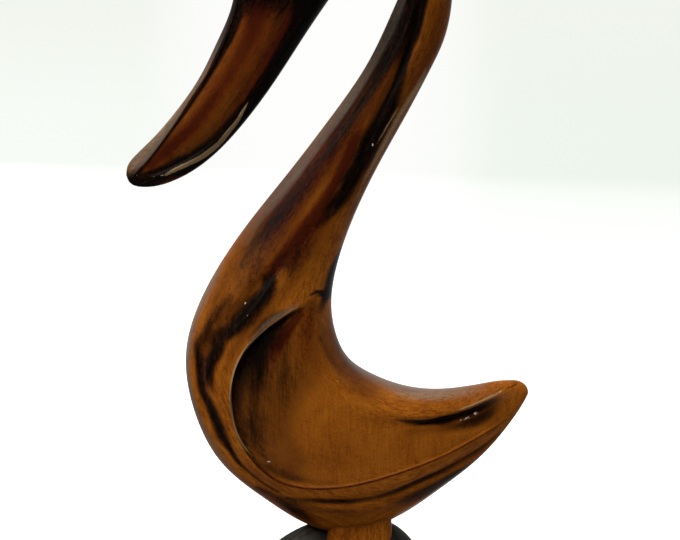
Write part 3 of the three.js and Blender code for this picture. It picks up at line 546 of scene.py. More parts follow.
        (-86.8, 189.1, 3.4, 3.4, 0.85), (-88.5, 185.7, 2.5, 2.5, 0.35),
    )),
    Stroke("dark of the culmen flat", Tone.DARK, 0.5, (
        (-43.6, 270.6, 3.4, 3.4, 1), (-45.8, 256.6, 3.4, 3.4, 0.9), (-49.4, 243.8, 2.5, 3.4, 0.75),
        (-58.4, 226.4, 1.9, 3.4, 0.3), (-73.2, 205.4, 3, 3.4, 0.15), (-83.4, 193.2, 4, 3.4, 0.1),
        (-86.8, 189, 3.4, 3.4, 0.15), (-88.4, 185.6, 2.5, 2.5, 0.3),
    )),
    Stroke("red of the bill's panel", Tone.RED, 1, (
        (-32, 259.5, 11, 11, 1), (-35, 249, 11, 11, 0.85), (-47, 224.5, 9.2, 10.2, 0.65),
        (-55.5, 213, 8.4, 9.2, 0.55), (-63, 203, 7.6, 7.6, 0.55), (-71.5, 195.5, 6, 6.8, 0.6),
        (-79, 188.5, 5, 5.6, 0.65),
    )),
    # Painted pale sheen on the culmen's flat.
    Stroke("worn culmen flat", Tone.WORN, 1, (
        (-53.6, 234.6, 1.3, 3.4, 0.2), (-58.4, 226.4, 1.7, 3.4, 0.35), (-68.2, 212.2, 2.5, 3.4, 0.5),
        (-83.4, 193.2, 3.8, 3.4, 0.5), (-86.8, 189, 3.4, 3.4, 0.5), (-88.8, 185.6, 2.5, 2.5, 0.4),
    )),
    Stroke("shade of the bill's panel", Tone.DARK, 1, (
        (-32, 260, 12.5, 12.5, 0.5), (-35, 249, 12.5, 12.5, 0.1), (-47, 224, 11, 11.5, 0.2),
        (-63, 203, 9, 9, 0.3), (-72, 195, 7, 8, 0.35),
    )),
    Stroke("line under the wing's field", Tone.RED, 0.8, (
        (-38.2, 68.6, 1.3, 0.3, 0.4), (-27.9, 58.3, 1.3, 0.4, 0.7), (-12.9, 54.5, 1.3, 0.5, 0.8),
        (2.9, 55.4, 1.3, 0.5, 0.8), (23.7, 60.5, 1.2, 0.5, 0.75), (44.4, 67.6, 1.2, 0.5, 0.65),
        (64.7, 77.6, 1.2, 0.5, 0.35), (75.3, 83.2, 1.2, 0.4, 0.1),
    )),
    Stroke("shadow of the wing's ledge", Tone.DARK, 1, (
        (-38.2, 68.6, 2, 0.2, 0.4), (-27.9, 58.3, 2, 0.3, 0.5), (-12.9, 54.5, 1.8, 0.3, 0.5),
        (2.9, 55.4, 1.7, 0.3, 0.5), (23.7, 60.5, 1.7, 0.3, 0.5), (44.4, 67.6, 1.7, 0.3, 0.45),
        (64.7, 77.6, 1.6, 0.3, 0.4), (75.3, 83.2, 1.4, 0.3, 0.2),
    )),
    Stroke("red patch in the wing", Tone.RED, 0.8, (
        (-16.4, 127.6, 2.5, 2.5, 0.9), (-20.2, 122.8, 3.4, 4.2, 1), (-23.6, 118, 4.2, 4.7, 1),
        (-26.8, 111.6, 4.2, 4.2, 0.8), (-28.8, 103.2, 4.2, 3.4, 0.5),
    )),
    Stroke("red at the wing's back", Tone.RED, 1, (
        (-11, 132, 4, 3.5, 0.3), (-12, 124, 6, 7, 0.4), (-9, 105, 7, 8.5, 0.2),
    )),
    Stroke("red of the wing's top", Tone.RED, 1, (
        (-14, 128.5, 6, 4, 0.5), (-17, 113, 7, 6, 0.4), (-19.5, 104, 6, 6, 0.3),
    )),
    Stroke("red of the tail's back", Tone.RED, 1, (
        (13, 95, 4, 5, 0.2), (22, 91, 6, 5, 0.3), (42, 91, 7, 5, 0.35), (53, 92, 6, 5, 0.4),
        (71, 96, 2.5, 3, 0.3),
    )),
    # Grey rubbing and a painted sheen on the tail's back.
    Stroke("grey of the tail's back", Tone.GREY, 1, (
        (0, 110.4, 4.2, 1.5, 0.4), (6.2, 104.4, 4.2, 2.5, 0.7), (13.6, 100.2, 4.2, 3.6, 0.8),
        (31.6, 93.8, 4.2, 4.6, 0.9), (61.6, 96.2, 4.2, 3.1, 0.5),
    )),
    Stroke("red above the wing", Tone.RED, 1, (
        (-4, 161, 5, 5, 0.2), (-12, 151, 7.5, 7.5, 0.3), (-26, 132, 4, 4, 0.1),
    )),
    Stroke("red of the back", Tone.RED, 1, (
        (-1, 158, 3.5, 3.5, 0.25), (-3, 132, 4, 4, 0.2), (7, 106, 5, 5, 0.15), (15, 98, 5, 5, 0.25),
    )),
    Stroke("red of the nape", Tone.RED, 1, (
        (43, 253, 4, 3.5, 0.05), (39, 239, 4, 4, 0.1), (26, 214, 4, 4, 0.15), (4, 168, 3.5, 3.5, 0.05),
    )),
    Stroke("red of the breast", Tone.RED, 1, (
        (-38, 160, 7, 7, 0.25), (-51, 137, 6, 6, 0.3), (-56, 126, 5, 5, 0.2), (-52, 79, 3.5, 3.5, 0.1),
    )),
    Stroke("red of the upper streaks", Tone.RED, 1, (
        (-11.5, 186, 4, 4, 0.5), (-17.5, 178, 4.5, 4.5, 0.6), (-24, 169.5, 5, 5, 0.6),
        (-31.5, 160, 5, 5, 0.5),
    )),
    Stroke("shade of the belly's middle", Tone.DARK, 1, (
        (-23, 50, 2, 4, 0.3), (-15, 47, 2.5, 4.5, 0.4), (2, 45, 2.5, 4, 0.3), (8, 46, 2, 3, 0.1),
    )),
    Stroke("belly beside the foot", Tone.DARK, 1, (
        (-34.5, 53.5, 2.5, 5, 0.55), (-25, 48.5, 4, 6, 0.6), (-17.5, 43, 5.5, 6, 0.75),
        (-11, 37.5, 5, 5, 0.4), (-6, 31.5, 3, 3, 0.3),
    )),
    Stroke("red of the belly", Tone.RED, 1, (
        (-30, 48, 4, 5, 0.4), (-17, 42, 4, 5, 0.4), (17, 45, 4, 4, 0.4),
    )),
    Stroke("dark underside of the bill's tip", Tone.DARK, 0.6, (
        (-77.9, 180.2, 1.5, 2, 0.8), (-81.9, 180.6, 2, 2.9, 0.9), (-85.7, 181.5, 2.4, 3.4, 0.95),
        (-88.6, 183.2, 2.4, 2.9, 0.8), (-90.6, 185.2, 2, 2, 0.5),
    )),
    Stroke("worn strip along the bill's rim", Tone.WORN, 0.6, (
        (-38.5, 215, 0.4, 0.4, 0.65), (-40.4, 212.1, 0.9, 0.9, 0.8), (-42.8, 207.9, 1.2, 1.2, 0.8),
        (-46.2, 203.7, 1.4, 1.4, 0.8), (-49.6, 199.5, 1.5, 1.5, 0.8), (-53.8, 195.6, 1.6, 1.6, 0.8),
        (-57.6, 192.8, 1.6, 1.6, 0.8), (-65.2, 188.9, 1.4, 1.4, 0.8), (-69.8, 186.8, 1.3, 1.3, 0.8),
        (-74.1, 184.6, 0.8, 0.8, 0.7),
    )),
    # Pale wear and a painted highlight along the flute's right edge.
    Stroke("worn edge right of the flute", Tone.WORN, 0.8, (
        (25, 214.4, 0.7, 0.5, 0.3), (22.5, 210.3, 0.8, 0.6, 0.6), (20, 206.1, 0.8, 0.6, 0.7),
        (17.1, 201.1, 0.8, 0.6, 0.6), (14.2, 196.2, 0.6, 0.6, 0.4),
    )),
    Stroke("sheen of the back", Tone.WORN, 1, (
        (-3, 130, 1.5, 1.5, 0.25), (-2.5, 123, 1.5, 2, 0.4), (-1, 116, 2, 2, 0.45), (2, 109.5, 2, 2, 0.45),
        (7, 104, 2.5, 2.5, 0.4),
    )),
    # Painted reddish sheen on the nape, laid with the red strokes.
    Stroke("red sheen of the nape", Tone.RED, 1, (
        (40, 257, 4.2, 3.4, 0.25), (36.5, 232.5, 4.2, 3.4, 0.4), (32.5, 222.5, 3.8, 3.4, 0.5),
        (23, 206, 3.8, 3.4, 0.45), (12.5, 188, 3, 3.4, 0.35), (7.5, 178, 2.4, 2.4, 0.3),
    )),
    Stroke("red of the bill panel's tip", Tone.RED, 1, (
        (-52, 217, 5.5, 5.5, 0.3), (-64.5, 202.5, 4.5, 6.5, 0.55), (-71, 197, 4, 5.5, 0.6),
        (-80.5, 188, 2, 3, 0.5),
    )),
    Stroke("sheen of the breast's rim", Tone.WORN, 1, (
        (-49.8, 148.2, 2.1, 2.1, 0.35), (-56.4, 135.6, 2.1, 2.1, 0.45), (-62, 123, 2.1, 2.1, 0.55),
        (-64.4, 110.4, 2.5, 2.1, 0.55), (-65.2, 97.4, 3, 2.1, 0.6), (-62.4, 84.4, 3, 2.1, 0.55),
        (-55.8, 73.2, 2.5, 2.1, 0.5), (-46.6, 60.2, 2.5, 2.1, 0.45), (-36.4, 49, 2.1, 2.1, 0.4),
    )),
    Stroke("sheen of the nape", Tone.WORN, 1, (
        (40.4, 261.2, 3.3, 2.5, 0.15), (40.2, 249.2, 3.3, 3.2, 0.2), (38.2, 236.8, 3.3, 3.2, 0.2),
        (33.8, 224.4, 3.3, 3.2, 0.6), (28.8, 216.2, 3.3, 3.2, 0.65), (18.8, 198.6, 3.3, 3.2, 0.65),
        (13.4, 188.6, 2.8, 3.2, 0.6), (8.4, 178.6, 2.8, 2.5, 0.5), (3.8, 168.2, 2.8, 2.5, 0.4),
        (0.8, 157.6, 2.2, 1.9, 0.3),
    )),
    # Painted highlight along the crest of the wing's ledge.
    Stroke("worn crest of the wing's ledge", Tone.WORN, 0.8, (
        (-15.3, 131, 0.4, 0.4, 0.6), (-18.6, 130.1, 0.5, 0.6, 1), (-23.1, 127.5, 0.6, 0.7, 1),
        (-28.8, 123.5, 0.6, 0.7, 1), (-34.1, 118.8, 0.6, 0.8, 1), (-38.6, 114.2, 0.5, 0.8, 0.95),
        (-42.8, 106.7, 0.5, 0.8, 0.9), (-45.1, 95.8, 0.5, 0.8, 0.9), (-44.6, 87.3, 0.5, 0.8, 0.85),
        (-43, 79.7, 0.5, 0.8, 0.8), (-39.8, 72.8, 0.5, 0.8, 0.7), (-36.6, 68.4, 0.5, 0.7, 0.5),
    )),
    # Painted grey sheen on the inner wall of the wing's ledge.
    Stroke("grey inside the wing's ledge", Tone.GREY, 1, (
        (-29.5, 117, 6, 0.8, 0.12), (-41.5, 100.5, 9.3, 0.8, 0.23), (-42, 92, 8.5, 0.8, 0.23),
        (-41.5, 83.5, 7.2, 0.8, 0.19), (-34, 67.5, 3.4, 0.8, 0.08),
    )),
    # Painted grey sheen along the band above the wing's ledge.
    Stroke("grey above the wing's ledge", Tone.GREY, 1, (
        (-16.5, 133.2, 1.3, 1.7, 0.5), (-22.2, 129.2, 1.3, 2.1, 0.7), (-27.9, 125.7, 1.3, 2.5, 0.8),
        (-32.8, 121.6, 1.3, 2.1, 0.6), (-37.8, 116.7, 0.8, 1.7, 0.4),
    )),
    Stroke("stain above the wing's ledge", Tone.DARK, 1, (
        (-23, 128.8, 1.5, 2.4, 0.4), (-27.9, 126.1, 1.5, 3.4, 0.6), (-32.4, 122.4, 1.5, 2.9, 0.5),
        (-36.9, 118.3, 1, 2, 0.25),
    )),
    # Painted highlight on the tail's top roll, with grey streaks of wear.
    Stroke("rubbed roll of the tail", Tone.WORN, 1, (
        (11, 99, 4, 4.5, 0.25), (19, 95, 4, 5.5, 0.4), (53, 93, 4, 5, 0.45), (63.5, 94.5, 3, 4, 0.4),
        (71.5, 95, 2, 2.5, 0.3),
    )),
    # Painted glints along the tail's ridge, with its wear.
    Stroke("worn tail ridge", Tone.WORN, 0.8, (
        (41.8, 87.1, 0.5, 0.5, 0.2), (47.8, 86.3, 0.5, 0.5, 0.4), (51.6, 87.2, 0.6, 0.6, 0.8),
        (57.2, 89, 0.6, 0.6, 1), (62.8, 91.2, 0.6, 0.6, 1), (69, 93.4, 0.5, 0.5, 0.8),
    )),
    Stroke("grey of the upper breast", Tone.GREY, 1, (
        (-17, 186, 4, 5, 0.3), (-31, 168, 6, 5, 0.3), (-43, 148, 6, 5, 0.2),
    )),
    Stroke("grey of the tail's tip", Tone.GREY, 1, (
        (38, 91, 3.5, 4, 0.2), (59, 92, 3.5, 8.5, 0.35), (68, 92, 3.5, 9.5, 0.4), (74, 93, 2.5, 6, 0.3),
    )),
    Stroke("grey under the tail", Tone.GREY, 1, (
        (17, 45.5, 2, 3.5, 0.15), (42.5, 54.5, 3.5, 6, 0.3), (55.5, 60.5, 3.5, 6, 0.3),
        (68.5, 71.5, 3.5, 5, 0.3),
    )),
    # Painted sheen along the breast's rim, laid as grey.
    Stroke("grey rim of the breast", Tone.GREY, 1, (
        (-50, 148, 5, 3.6, 0.45), (-56.5, 135.5, 5, 3.6, 0.8), (-61.5, 123, 3.2, 3.2, 0.9),
        (-64, 110.5, 2.8, 3.2, 1), (-64, 98.5, 2.8, 3.2, 1), (-60.5, 86, 2.8, 3.2, 0.8),
        (-54.5, 73.5, 2.8, 3.2, 0.7), (-45.5, 60.5, 2.8, 3.2, 0.6),
    )),
)
# Small chips in the varnish on the side towards -Y: x, z and radius, in millimetres.
CHIPS = (
    (50.9, 82.1, 0.7), (52.8, 82.6, 0.5), (54.3, 83.0, 0.6), (56.7, 84.4, 0.8), (57.8, 84.9, 0.6),
    (13.5, 197.4, 0.4), (-29.5, 66.6, 1.0), (-31.4, 68.1, 0.6), (-0.8, 100.2, 0.8), (-56.6, 192.2, 0.5),
    (-59.4, 190.9, 0.6), (-61.5, 189.5, 0.4), (-64.0, 187.8, 0.4), (-76.6, 184.4, 0.6),
    (-78.8, 184.0, 0.6), (-74.9, 184.6, 0.5), (-85.6, 184.8, 0.5), (-44.6, 243.1, 0.5),
    (-13.3, 184.6, 0.3), (-15.8, 180.4, 0.3), (-39.2, 132.3, 0.5), (-37.8, 127.3, 0.4), (-6.6, 168.9, 0.3),
    (-44.4, 120.2, 0.7), (62.9, 91.4, 0.4), (66.4, 92.9, 0.5), (68.1, 93.5, 0.4), (52.0, 87.1, 0.4),
)


def soften(mesh: bpy.types.Mesh, angle: float) -> None:
    """Draws a mesh's faces smooth, with its edges sharp past an angle in degrees."""
    mesh.shade_smooth()
    mesh.set_sharp_from_angle(angle=math.radians(angle))


def fill_mesh(name: str, points: np.ndarray, faces: list[np.ndarray]) -> bpy.types.Object:
    """Makes a mesh object at the origin from whole arrays, with smooth faces and sharp edges.

    Args:
        name: The object's name.
        points: Rows of x, y, z in millimetres.
        faces: Arrays of vertex numbers, one row per face, such as the quads and then the triangles.

    Returns:
        The new object, linked to the scene.
    """
    mesh = bpy.data.meshes.new(name)
    sizes = np.concatenate([np.full(len(part), part.shape[1]) for part in faces])
    mesh.vertices.add(len(points))
    mesh.vertices.foreach_set("co", (points * MM).astype(np.float32).ravel())
    mesh.loops.add(int(sizes.sum()))
    corners = np.concatenate([part.ravel() for part in faces])
    mesh.loops.foreach_set("vertex_index", corners.astype(np.int32))
    mesh.polygons.add(len(sizes))
    starts = np.concatenate([[0], np.cumsum(sizes)[:-1]])
    mesh.polygons.foreach_set("loop_start", starts.astype(np.int32))
    mesh.update(calc_edges=True)
    mesh.validate()
    soften(mesh, SMOOTH_ANGLE)
    thing = bpy.data.objects.new(name, mesh)
    bpy.context.scene.collection.objects.link(thing)
    return thing


def ring_faces(rings: int, around: int) -> list[np.ndarray]:
    """Faces of a closed surface whose vertices are a first pole, rings of points and a last pole.

    Args:
        rings: How many rings there are between the poles.
        around: How many points each ring has.

    Returns:
        The quads between rings, and the triangles at the two poles.
    """
    ring, column = np.meshgrid(np.arange(rings - 1), np.arange(around), indexing="ij")
    here, beside = 1 + ring * around + column, 1 + ring * around + (column + 1) % around
    quads = np.stack([here, here + around, beside + around, beside], axis=-1).reshape(-1, 4)
    edge = np.arange(around)
    first = np.stack([np.zeros(around, int), 1 + edge, 1 + (edge + 1) % around], axis=1)
    base = 1 + (rings - 1) * around
    last = np.stack([np.full(around, base + around), base + (edge + 1) % around, base + edge], axis=1)
    return [quads, np.concatenate([first, last])]


def apply_modifiers(thing: bpy.types.Object) -> None:
    """Puts the result of an object's modifiers into its mesh and removes them.

    Args:
        thing: The object.
    """
    graph = bpy.context.evaluated_depsgraph_get()
    shown = thing.evaluated_get(graph)
    made = bpy.data.meshes.new_from_object(shown, preserve_all_data_layers=True, depsgraph=graph)
    thing.modifiers.clear()
    thing.data = made


class Join(Enum):
    """What another solid does to one; the value is the Boolean modifier's operation."""

    ADD = "UNION"
    CUT = "DIFFERENCE"


def join_solids(thing: bpy.types.Object, others: list[tuple[bpy.types.Object, Join]]) -> None:
    """Joins or cuts a solid with others, which are then removed.

    Args:
        thing: The solid that is kept.
        others: Each other solid, with what it does.
    """
    for other, way in others:
        modifier = thing.modifiers.new(way.name, "BOOLEAN")
        modifier.solver = "MANIFOLD"
        modifier.operation = way.value
        modifier.object = other
    apply_modifiers(thing)
    for other, _ in others:
        bpy.data.objects.remove(other)


def points_of(mesh: bpy.types.Mesh) -> np.ndarray:
    """A mesh's vertices.

    Args:
        mesh: The mesh.

    Returns:
        Rows of x, y, z in millimetres.
    """
    flat = np.zeros(len(mesh.vertices) * 3, np.float32)
    mesh.vertices.foreach_get("co", flat)
    return flat.reshape(-1, 3).astype(float) / MM


def store(mesh: bpy.types.Mesh, name: str, values: np.ndarray) -> None:
    """Keeps values of a mesh's vertices as a named attribute.

    Args:
        mesh: The mesh.
        name: The attribute's name.
        values: One number, or one row of three, for each vertex.
    """
    kind, key = ("FLOAT_VECTOR", "vector") if values.ndim == 2 else ("FLOAT", "value")
    held = mesh.attributes.get(name) or mesh.attributes.new(name, kind, "POINT")
    held.data.foreach_set(key, values.astype(np.float32).ravel())


@dataclass
class Carving:
    """The bird's carved surface as a function of the place along it and the share across one of its sides."""

    roundness: float = 2.25
    crisp_flank: float = 3.2
    wing_field_depth: float = 2.0
    bill_field_depth: float = 1.2
    edge_depth_reach: float = 6.5
    skin: float = 2.6
    facet_edge: float = 2.0
    track_starts: tuple[float, ...] = (0.2, 0.42, 0.6, 0.8)
    flank_margin: float = 1.2
    least_room: float = 0.02
    room_share: float = 0.45
    least_gap: float = 0.012
    gap_points: tuple[int, ...] = (13, 3, 8, 22, 5, 3, 8, 5, 6, 8, 5, 5, 14)
    fine_steps: int = 2000
    tip_crowding: float = 5.0
    tip_reach: float = 0.012
    full_flow_width: float = 30.0
    wide_flow_share: float = 0.35
    bill_field: dict[Place, float] = field(default_factory=lambda: {
        Place.BILL_TIP: 1.0, Place.BILL_ROOT: 1.0, Place.BROW: 0.0,
    })
    wing_field: dict[Place, float] = field(default_factory=lambda: {
        Place.NECK_BASE: 0.0, Place.SHOULDER: 1.0, Place.UNDER_TAIL: 1.0, Place.TAIL_TIP_ROUND: 0.0,
    })
    back_facet: dict[Place, float] = field(default_factory=lambda: {
        Place.BILL_TIP_ROUND: 0.0, Place.BILL_END: 1.0, Place.FACE: 1.0, Place.BROW: 0.0,
    })
    front_facet: dict[Place, float] = field(default_factory=lambda: {
        Place.BILL_END: 0.0, Place.BILL_LOW: 1.0, Place.BILL_ROOT: 0.9, Place.BROW: 0.0, Place.NAPE_TOP: 0.0,
        Place.NECK_TOP: 1.0, Place.NECK_BASE: 1.0, Place.BREAST_TOP: 0.0, Place.KEEL: 0.0,
        Place.UNDER_TAIL: 0.8, Place.TAIL_END: 0.0,
    })

    def __post_init__(self) -> None:
        """Lays the sections out along the bird and draws the carved lines."""
        table = np.array([place.value for place in Place])
        steps = np.diff(table, axis=0)
        spacing = (np.hypot(steps[:, 0], steps[:, 1]) + np.hypot(steps[:, 2], steps[:, 3])) / 2.0
        knots = np.concatenate([[0.0], np.cumsum(spacing)])
        self.length = float(knots[-1])
        self.sections = NaturalSpline(knots, table)
        self.knot_of = {place: float(knot) for place, knot in zip(Place, knots)}
        self.long_gouge = SideLine(LONG_GOUGE, 160)
        self.flat_gouge = SideLine(FLAT_GOUGE, 60)
        self.wing = SideLine(WING_LEDGE, 120)
        self.shoulder = SideLine(SHOULDER_LEDGE, 90)
        self.culmen = SideLine(CULMEN_LEDGE, 60)
        self.bill_rim = SideLine(BILL_RIM, 60)

    def strength(self, levels: dict[Place, float], along: np.ndarray) -> np.ndarray:
        """A strength eased from place to place along the bird.

        Args:
            levels: The strength at each named place.
            along: Places along the bird, in millimetres.

        Returns:
            The strength at each of them.
        """
        knots = np.array([self.knot_of[place] for place in levels])
        values = np.array(list(levels.values()))
        index = np.clip(np.searchsorted(knots, along, side="right") - 1, 0, len(knots) - 2)
        part = eased((along - knots[index]) / (knots[index + 1] - knots[index]))
        return values[index] + (values[index + 1] - values[index]) * part

    def gouge(self, line: SideLine, x: np.ndarray, z: np.ndarray) -> np.ndarray:
        """A gouge's depth: full on its line, eased out over a crisp left flank and a soft right one.

        Args:
            line: The gouge's line.
            x: Places along the bird.
            z: Heights of the places.

        Returns:
            The depth at each place.
        """
        signed, values = line.nearest(x, z)
        flank = np.where(signed > 0.0, self.crisp_flank, values[..., 1])
        return values[..., 0] * (1.0 - eased(np.abs(signed) / flank))

    def sunken(self, depth: float, first: SideLine, second: SideLine, x: np.ndarray,
               z: np.ndarray) -> np.ndarray:
        """Depth of a field between two ledges: its own depth, more near a ledge, eased in over each wall.

        Args:
            depth: The field's own depth.
            first: The ledge with the field on its left.
            second: The ledge with the field on its right.
            x: Places along the bird.
            z: Heights of the places.

        Returns:
            The depth at each place.
        """
        total, inside = depth, 1.0
        for line, way in ((first, 1.0), (second, -1.0)):
            signed, values = line.nearest(x, z)
            total = total + values[..., 0] * np.exp(-np.abs(signed) / self.edge_depth_reach)
            inside = inside * eased(way * signed / values[..., 1])
        return total * inside

    def relief(self, x: np.ndarray, z: np.ndarray, along: np.ndarray) -> np.ndarray:
        """How deep a side is cut below its rounded section.

        Args:
            x: Places along the bird.
            z: Heights of the places.
            along: The same places' distances from the bill's tip, along the bird.

        Returns:
            The depth at each place, in millimetres.
        """
        depth = self.gouge(self.long_gouge, x, z) + self.gouge(self.flat_gouge, x, z)
        depth += self.strength(self.wing_field, along) * self.sunken(
            self.wing_field_depth, self.wing, self.shoulder, x, z)
        depth += self.strength(self.bill_field, along) * self.sunken(
            self.bill_field_depth, self.culmen, self.bill_rim, x, z)
        return depth

    def track(self, lines: tuple[SideLine, ...], start: float, sections: np.ndarray) -> np.ndarray:
        """The share of the width at which a track of carved lines lies in each section.

        Between two lines the track goes over evenly from one to the other, and past the last it stays.

        Args:
            lines: The lines that make up the track.
            start: The share where no line has been met.
            sections: Rows of back x, back z, front x, front z.

        Returns:
            Rows of share, one millimetre as a share, and the line's own flank as a share.
        """
        found = np.full((len(sections), 3), np.nan)
        for line in lines:
            hits = line.crossings(sections)
            found = np.where(np.isnan(found), hits, found)
        met = np.flatnonzero(~np.isnan(found[:, 0]))
        width = np.hypot(*(sections[:, 2:4] - sections[:, :2]).T)
        if not len(met):
            return np.stack([np.full(len(width), start), 1.0 / width, 2.0 / width], axis=1)
        rows = np.arange(len(sections))
        after = met[np.clip(np.searchsorted(met, rows), 0, len(met) - 1)]
        before = met[np.clip(np.searchsorted(met, rows, side="right") - 1, 0, len(met) - 1)]
        part = eased((rows - before) / np.maximum(after - before, 1))[:, None]
        return found[before] + (found[after] - found[before]) * part

    def tracks(self, sections: np.ndarray) -> list[np.ndarray]:
        """The four tracks, from the back edge to the front: back ledge, wing's front, gouge, front ledge.

        Args:
            sections: Rows of back x, back z, front x, front z.

        Returns:
            What track gives for each of them.
        """
        back, front = (self.culmen, self.shoulder), (self.bill_rim, self.flat_gouge)
        lines = (back, (self.wing,), (self.long_gouge,), front)
        return [self.track(group, start, sections) for group, start in zip(lines, self.track_starts)]

    def shares(self, tracks: list[np.ndarray], detail: float) -> np.ndarray:
        """The shares of the width at which the surface has its points, closer beside the carved lines.

        Breakpoints lie on the lines and on the feet of their flanks, and each gap is divided evenly, except
        that the first and last open out from the edges as one less a cosine.

        Args:
            tracks: The four tracks' rows of share, one millimetre and flank.
            detail: How many times the plain number of points to use.

        Returns:
            One row of increasing shares from 0 to 1 for each section.
        """
        first, second, third, fourth = (track.T for track in tracks)
        room = np.maximum(second[0] - first[0], self.least_room) * self.room_share
        breaks = np.stack([
            np.zeros_like(room),
            first[0] - self.flank_margin * first[1], first[0], first[0] + np.minimum(first[2], room),
            second[0] - np.minimum(second[2], room), second[0], second[0] + self.flank_margin * second[1],
            third[0] - self.crisp_flank * third[1], third[0], third[0] + third[2],
            fourth[0] - self.crisp_flank * fourth[1], fourth[0],
            fourth[0] + np.minimum(fourth[2], 0.5 * (1.0 - fourth[0])),
            np.ones_like(room),
        ], axis=1)
        breaks = np.sort(np.clip(breaks, 0.0, 1.0), axis=1)
        gap = self.least_gap * np.arange(breaks.shape[1])
        breaks = np.maximum.accumulate(breaks - gap, axis=1) + gap
        breaks = breaks / breaks[:, -1:]
        counts = [round(count * detail) for count in self.gap_points]
        parts = []
        for i, count in enumerate(counts):
            part = np.arange(count) / count
            if i == 0:
                part = 1.0 - np.cos(part * math.pi / 2.0)
            if i == len(counts) - 1:
                part = np.sin(part * math.pi / 2.0)
            parts.append(breaks[:, i : i + 1] + (breaks[:, i + 1 : i + 2] - breaks[:, i : i + 1]) * part)
        return np.concatenate([*parts, np.ones((len(room), 1))], axis=1)

    def rounded(self, share: np.ndarray, half: np.ndarray) -> np.ndarray:
        """Half thickness of the plain section: a superellipse over the share of the width."""
        left = np.maximum(1.0 - np.abs(2.0 * share - 1.0) ** self.roundness, 0.0)
        return half * left ** (1.0 / self.roundness)

    def places(self, rows: int) -> np.ndarray:
        """Places along the bird for its sections, crowded at both tips.

        The density is one plus an exponential fall from each tip, and the places share its sum out evenly.

        Args:
            rows: How many sections there are.

        Returns:
            Their distances from the bill's tip, along the bird, in millimetres.
        """
        steps = (np.arange(self.fine_steps) + 0.5) / self.fine_steps
        crowd = np.exp(-steps / self.tip_reach) + np.exp(-(1.0 - steps) / self.tip_reach)
        weight = 1.0 + self.tip_crowding * crowd
        dealt = np.concatenate([[0.0], np.cumsum(weight)]) / weight.sum()
        even = np.linspace(0.0, 1.0, self.fine_steps + 1)
        return np.interp(np.linspace(0.0, 1.0, rows + 2), dealt, even)[1:-1] * self.length

    def facet(self, round_: np.ndarray, share: np.ndarray, edge: np.ndarray, half: np.ndarray,
              strength: np.ndarray) -> np.ndarray:
        """Cuts a flat from a section's edge to a carved line, as the straight between their half thicknesses.

        Args:
            round_: The half thickness so far.
            share: The share of the width, counted from the edge that the flat is on.
            edge: The share at which the line lies, counted the same way.
            half: The section's full half thickness.
            strength: How much of the cut is made.

        Returns:
            The half thickness that is left.
        """
        top = self.rounded(edge, half)
        flat = self.facet_edge + (top - self.facet_edge) * share / np.maximum(edge, 1e-6)
        cut = round_ + strength * (np.minimum(round_, flat) - round_)
        return np.where(share < edge, cut, round_)

    def surface(self, rows: int, detail: float, grow: float = 0.0) -> tuple[np.ndarray, np.ndarray, int]:
        """The whole closed surface, from the bill's tip to the tail's tip.

        Sections follow one another along the bird, closer at both tips. Across each, the half thickness is
        the rounded section, cut by the flats and then by the relief, which thins out towards the edges.

        Args:
            rows: How many sections there are.
            detail: How many times the plain number of points each has.
            grow: How far the surface is moved outwards, in millimetres.

        Returns:
            The points in millimetres, their flow coordinates (across, along, y), and the points in a ring.
        """
        along = self.places(rows)
        sections = self.sections.at(along)
        tracks = self.tracks(sections[:, :4])
        share = self.shares(tracks, detail)
        back_x, back_z, front_x, front_z, half = (sections[:, k : k + 1] for k in range(5))
        x = back_x + (front_x - back_x) * share
        z = back_z + (front_z - back_z) * share
        where = np.broadcast_to(along[:, None], share.shape)
        first, fourth = tracks[0][:, :1], tracks[-1][:, :1]
        uncut = self.rounded(share, half)
        uncut = self.facet(uncut, share, first, half, self.strength(self.back_facet, where))
        uncut = self.facet(uncut, 1.0 - share, 1.0 - fourth, half, self.strength(self.front_facet, where))
        depth = self.relief(x, z, where) * (1.0 - np.exp(-uncut / self.skin))
        y = np.maximum(uncut - depth, 0.0) + np.where(uncut > 0.0, grow, 0.0)
        width = np.hypot(front_x - back_x, front_z - back_z)
        outwards = grow * (2.0 * share - 1.0)
        x = x + (front_x - back_x) / width * outwards
        z = z + (front_z - back_z) / width * outwards
        wide = np.maximum(width - self.full_flow_width, 0.0)
        across = (share - 0.5) * np.minimum(width, self.full_flow_width + self.wide_flow_share * wide)
        sides = [np.stack([x, y, z], axis=-1), np.stack([x, -y, z], axis=-1)[:, -2:0:-1]]
        flows = [np.stack([across, where, y], axis=-1), np.stack([across, where, -y], axis=-1)[:, -2:0:-1]]
        rings, flow = np.concatenate(sides, axis=1), np.concatenate(flows, axis=1)
        ends = self.sections.at(np.array([0.0, self.length]))
        tips = np.array([[ends[0, 0] - grow, 0.0, ends[0, 1]], [ends[1, 0] + grow, 0.0, ends[1, 1]]])
        tip_flow = np.array([[0.0, 0.0, 0.0], [0.0, self.length, 0.0]])
        points = np.concatenate([tips[:1], rings.reshape(-1, 3), tips[1:]])
        flow = np.concatenate([tip_flow[:1], flow.reshape(-1, 3), tip_flow[1:]])
        return points, flow, rings.shape[1]


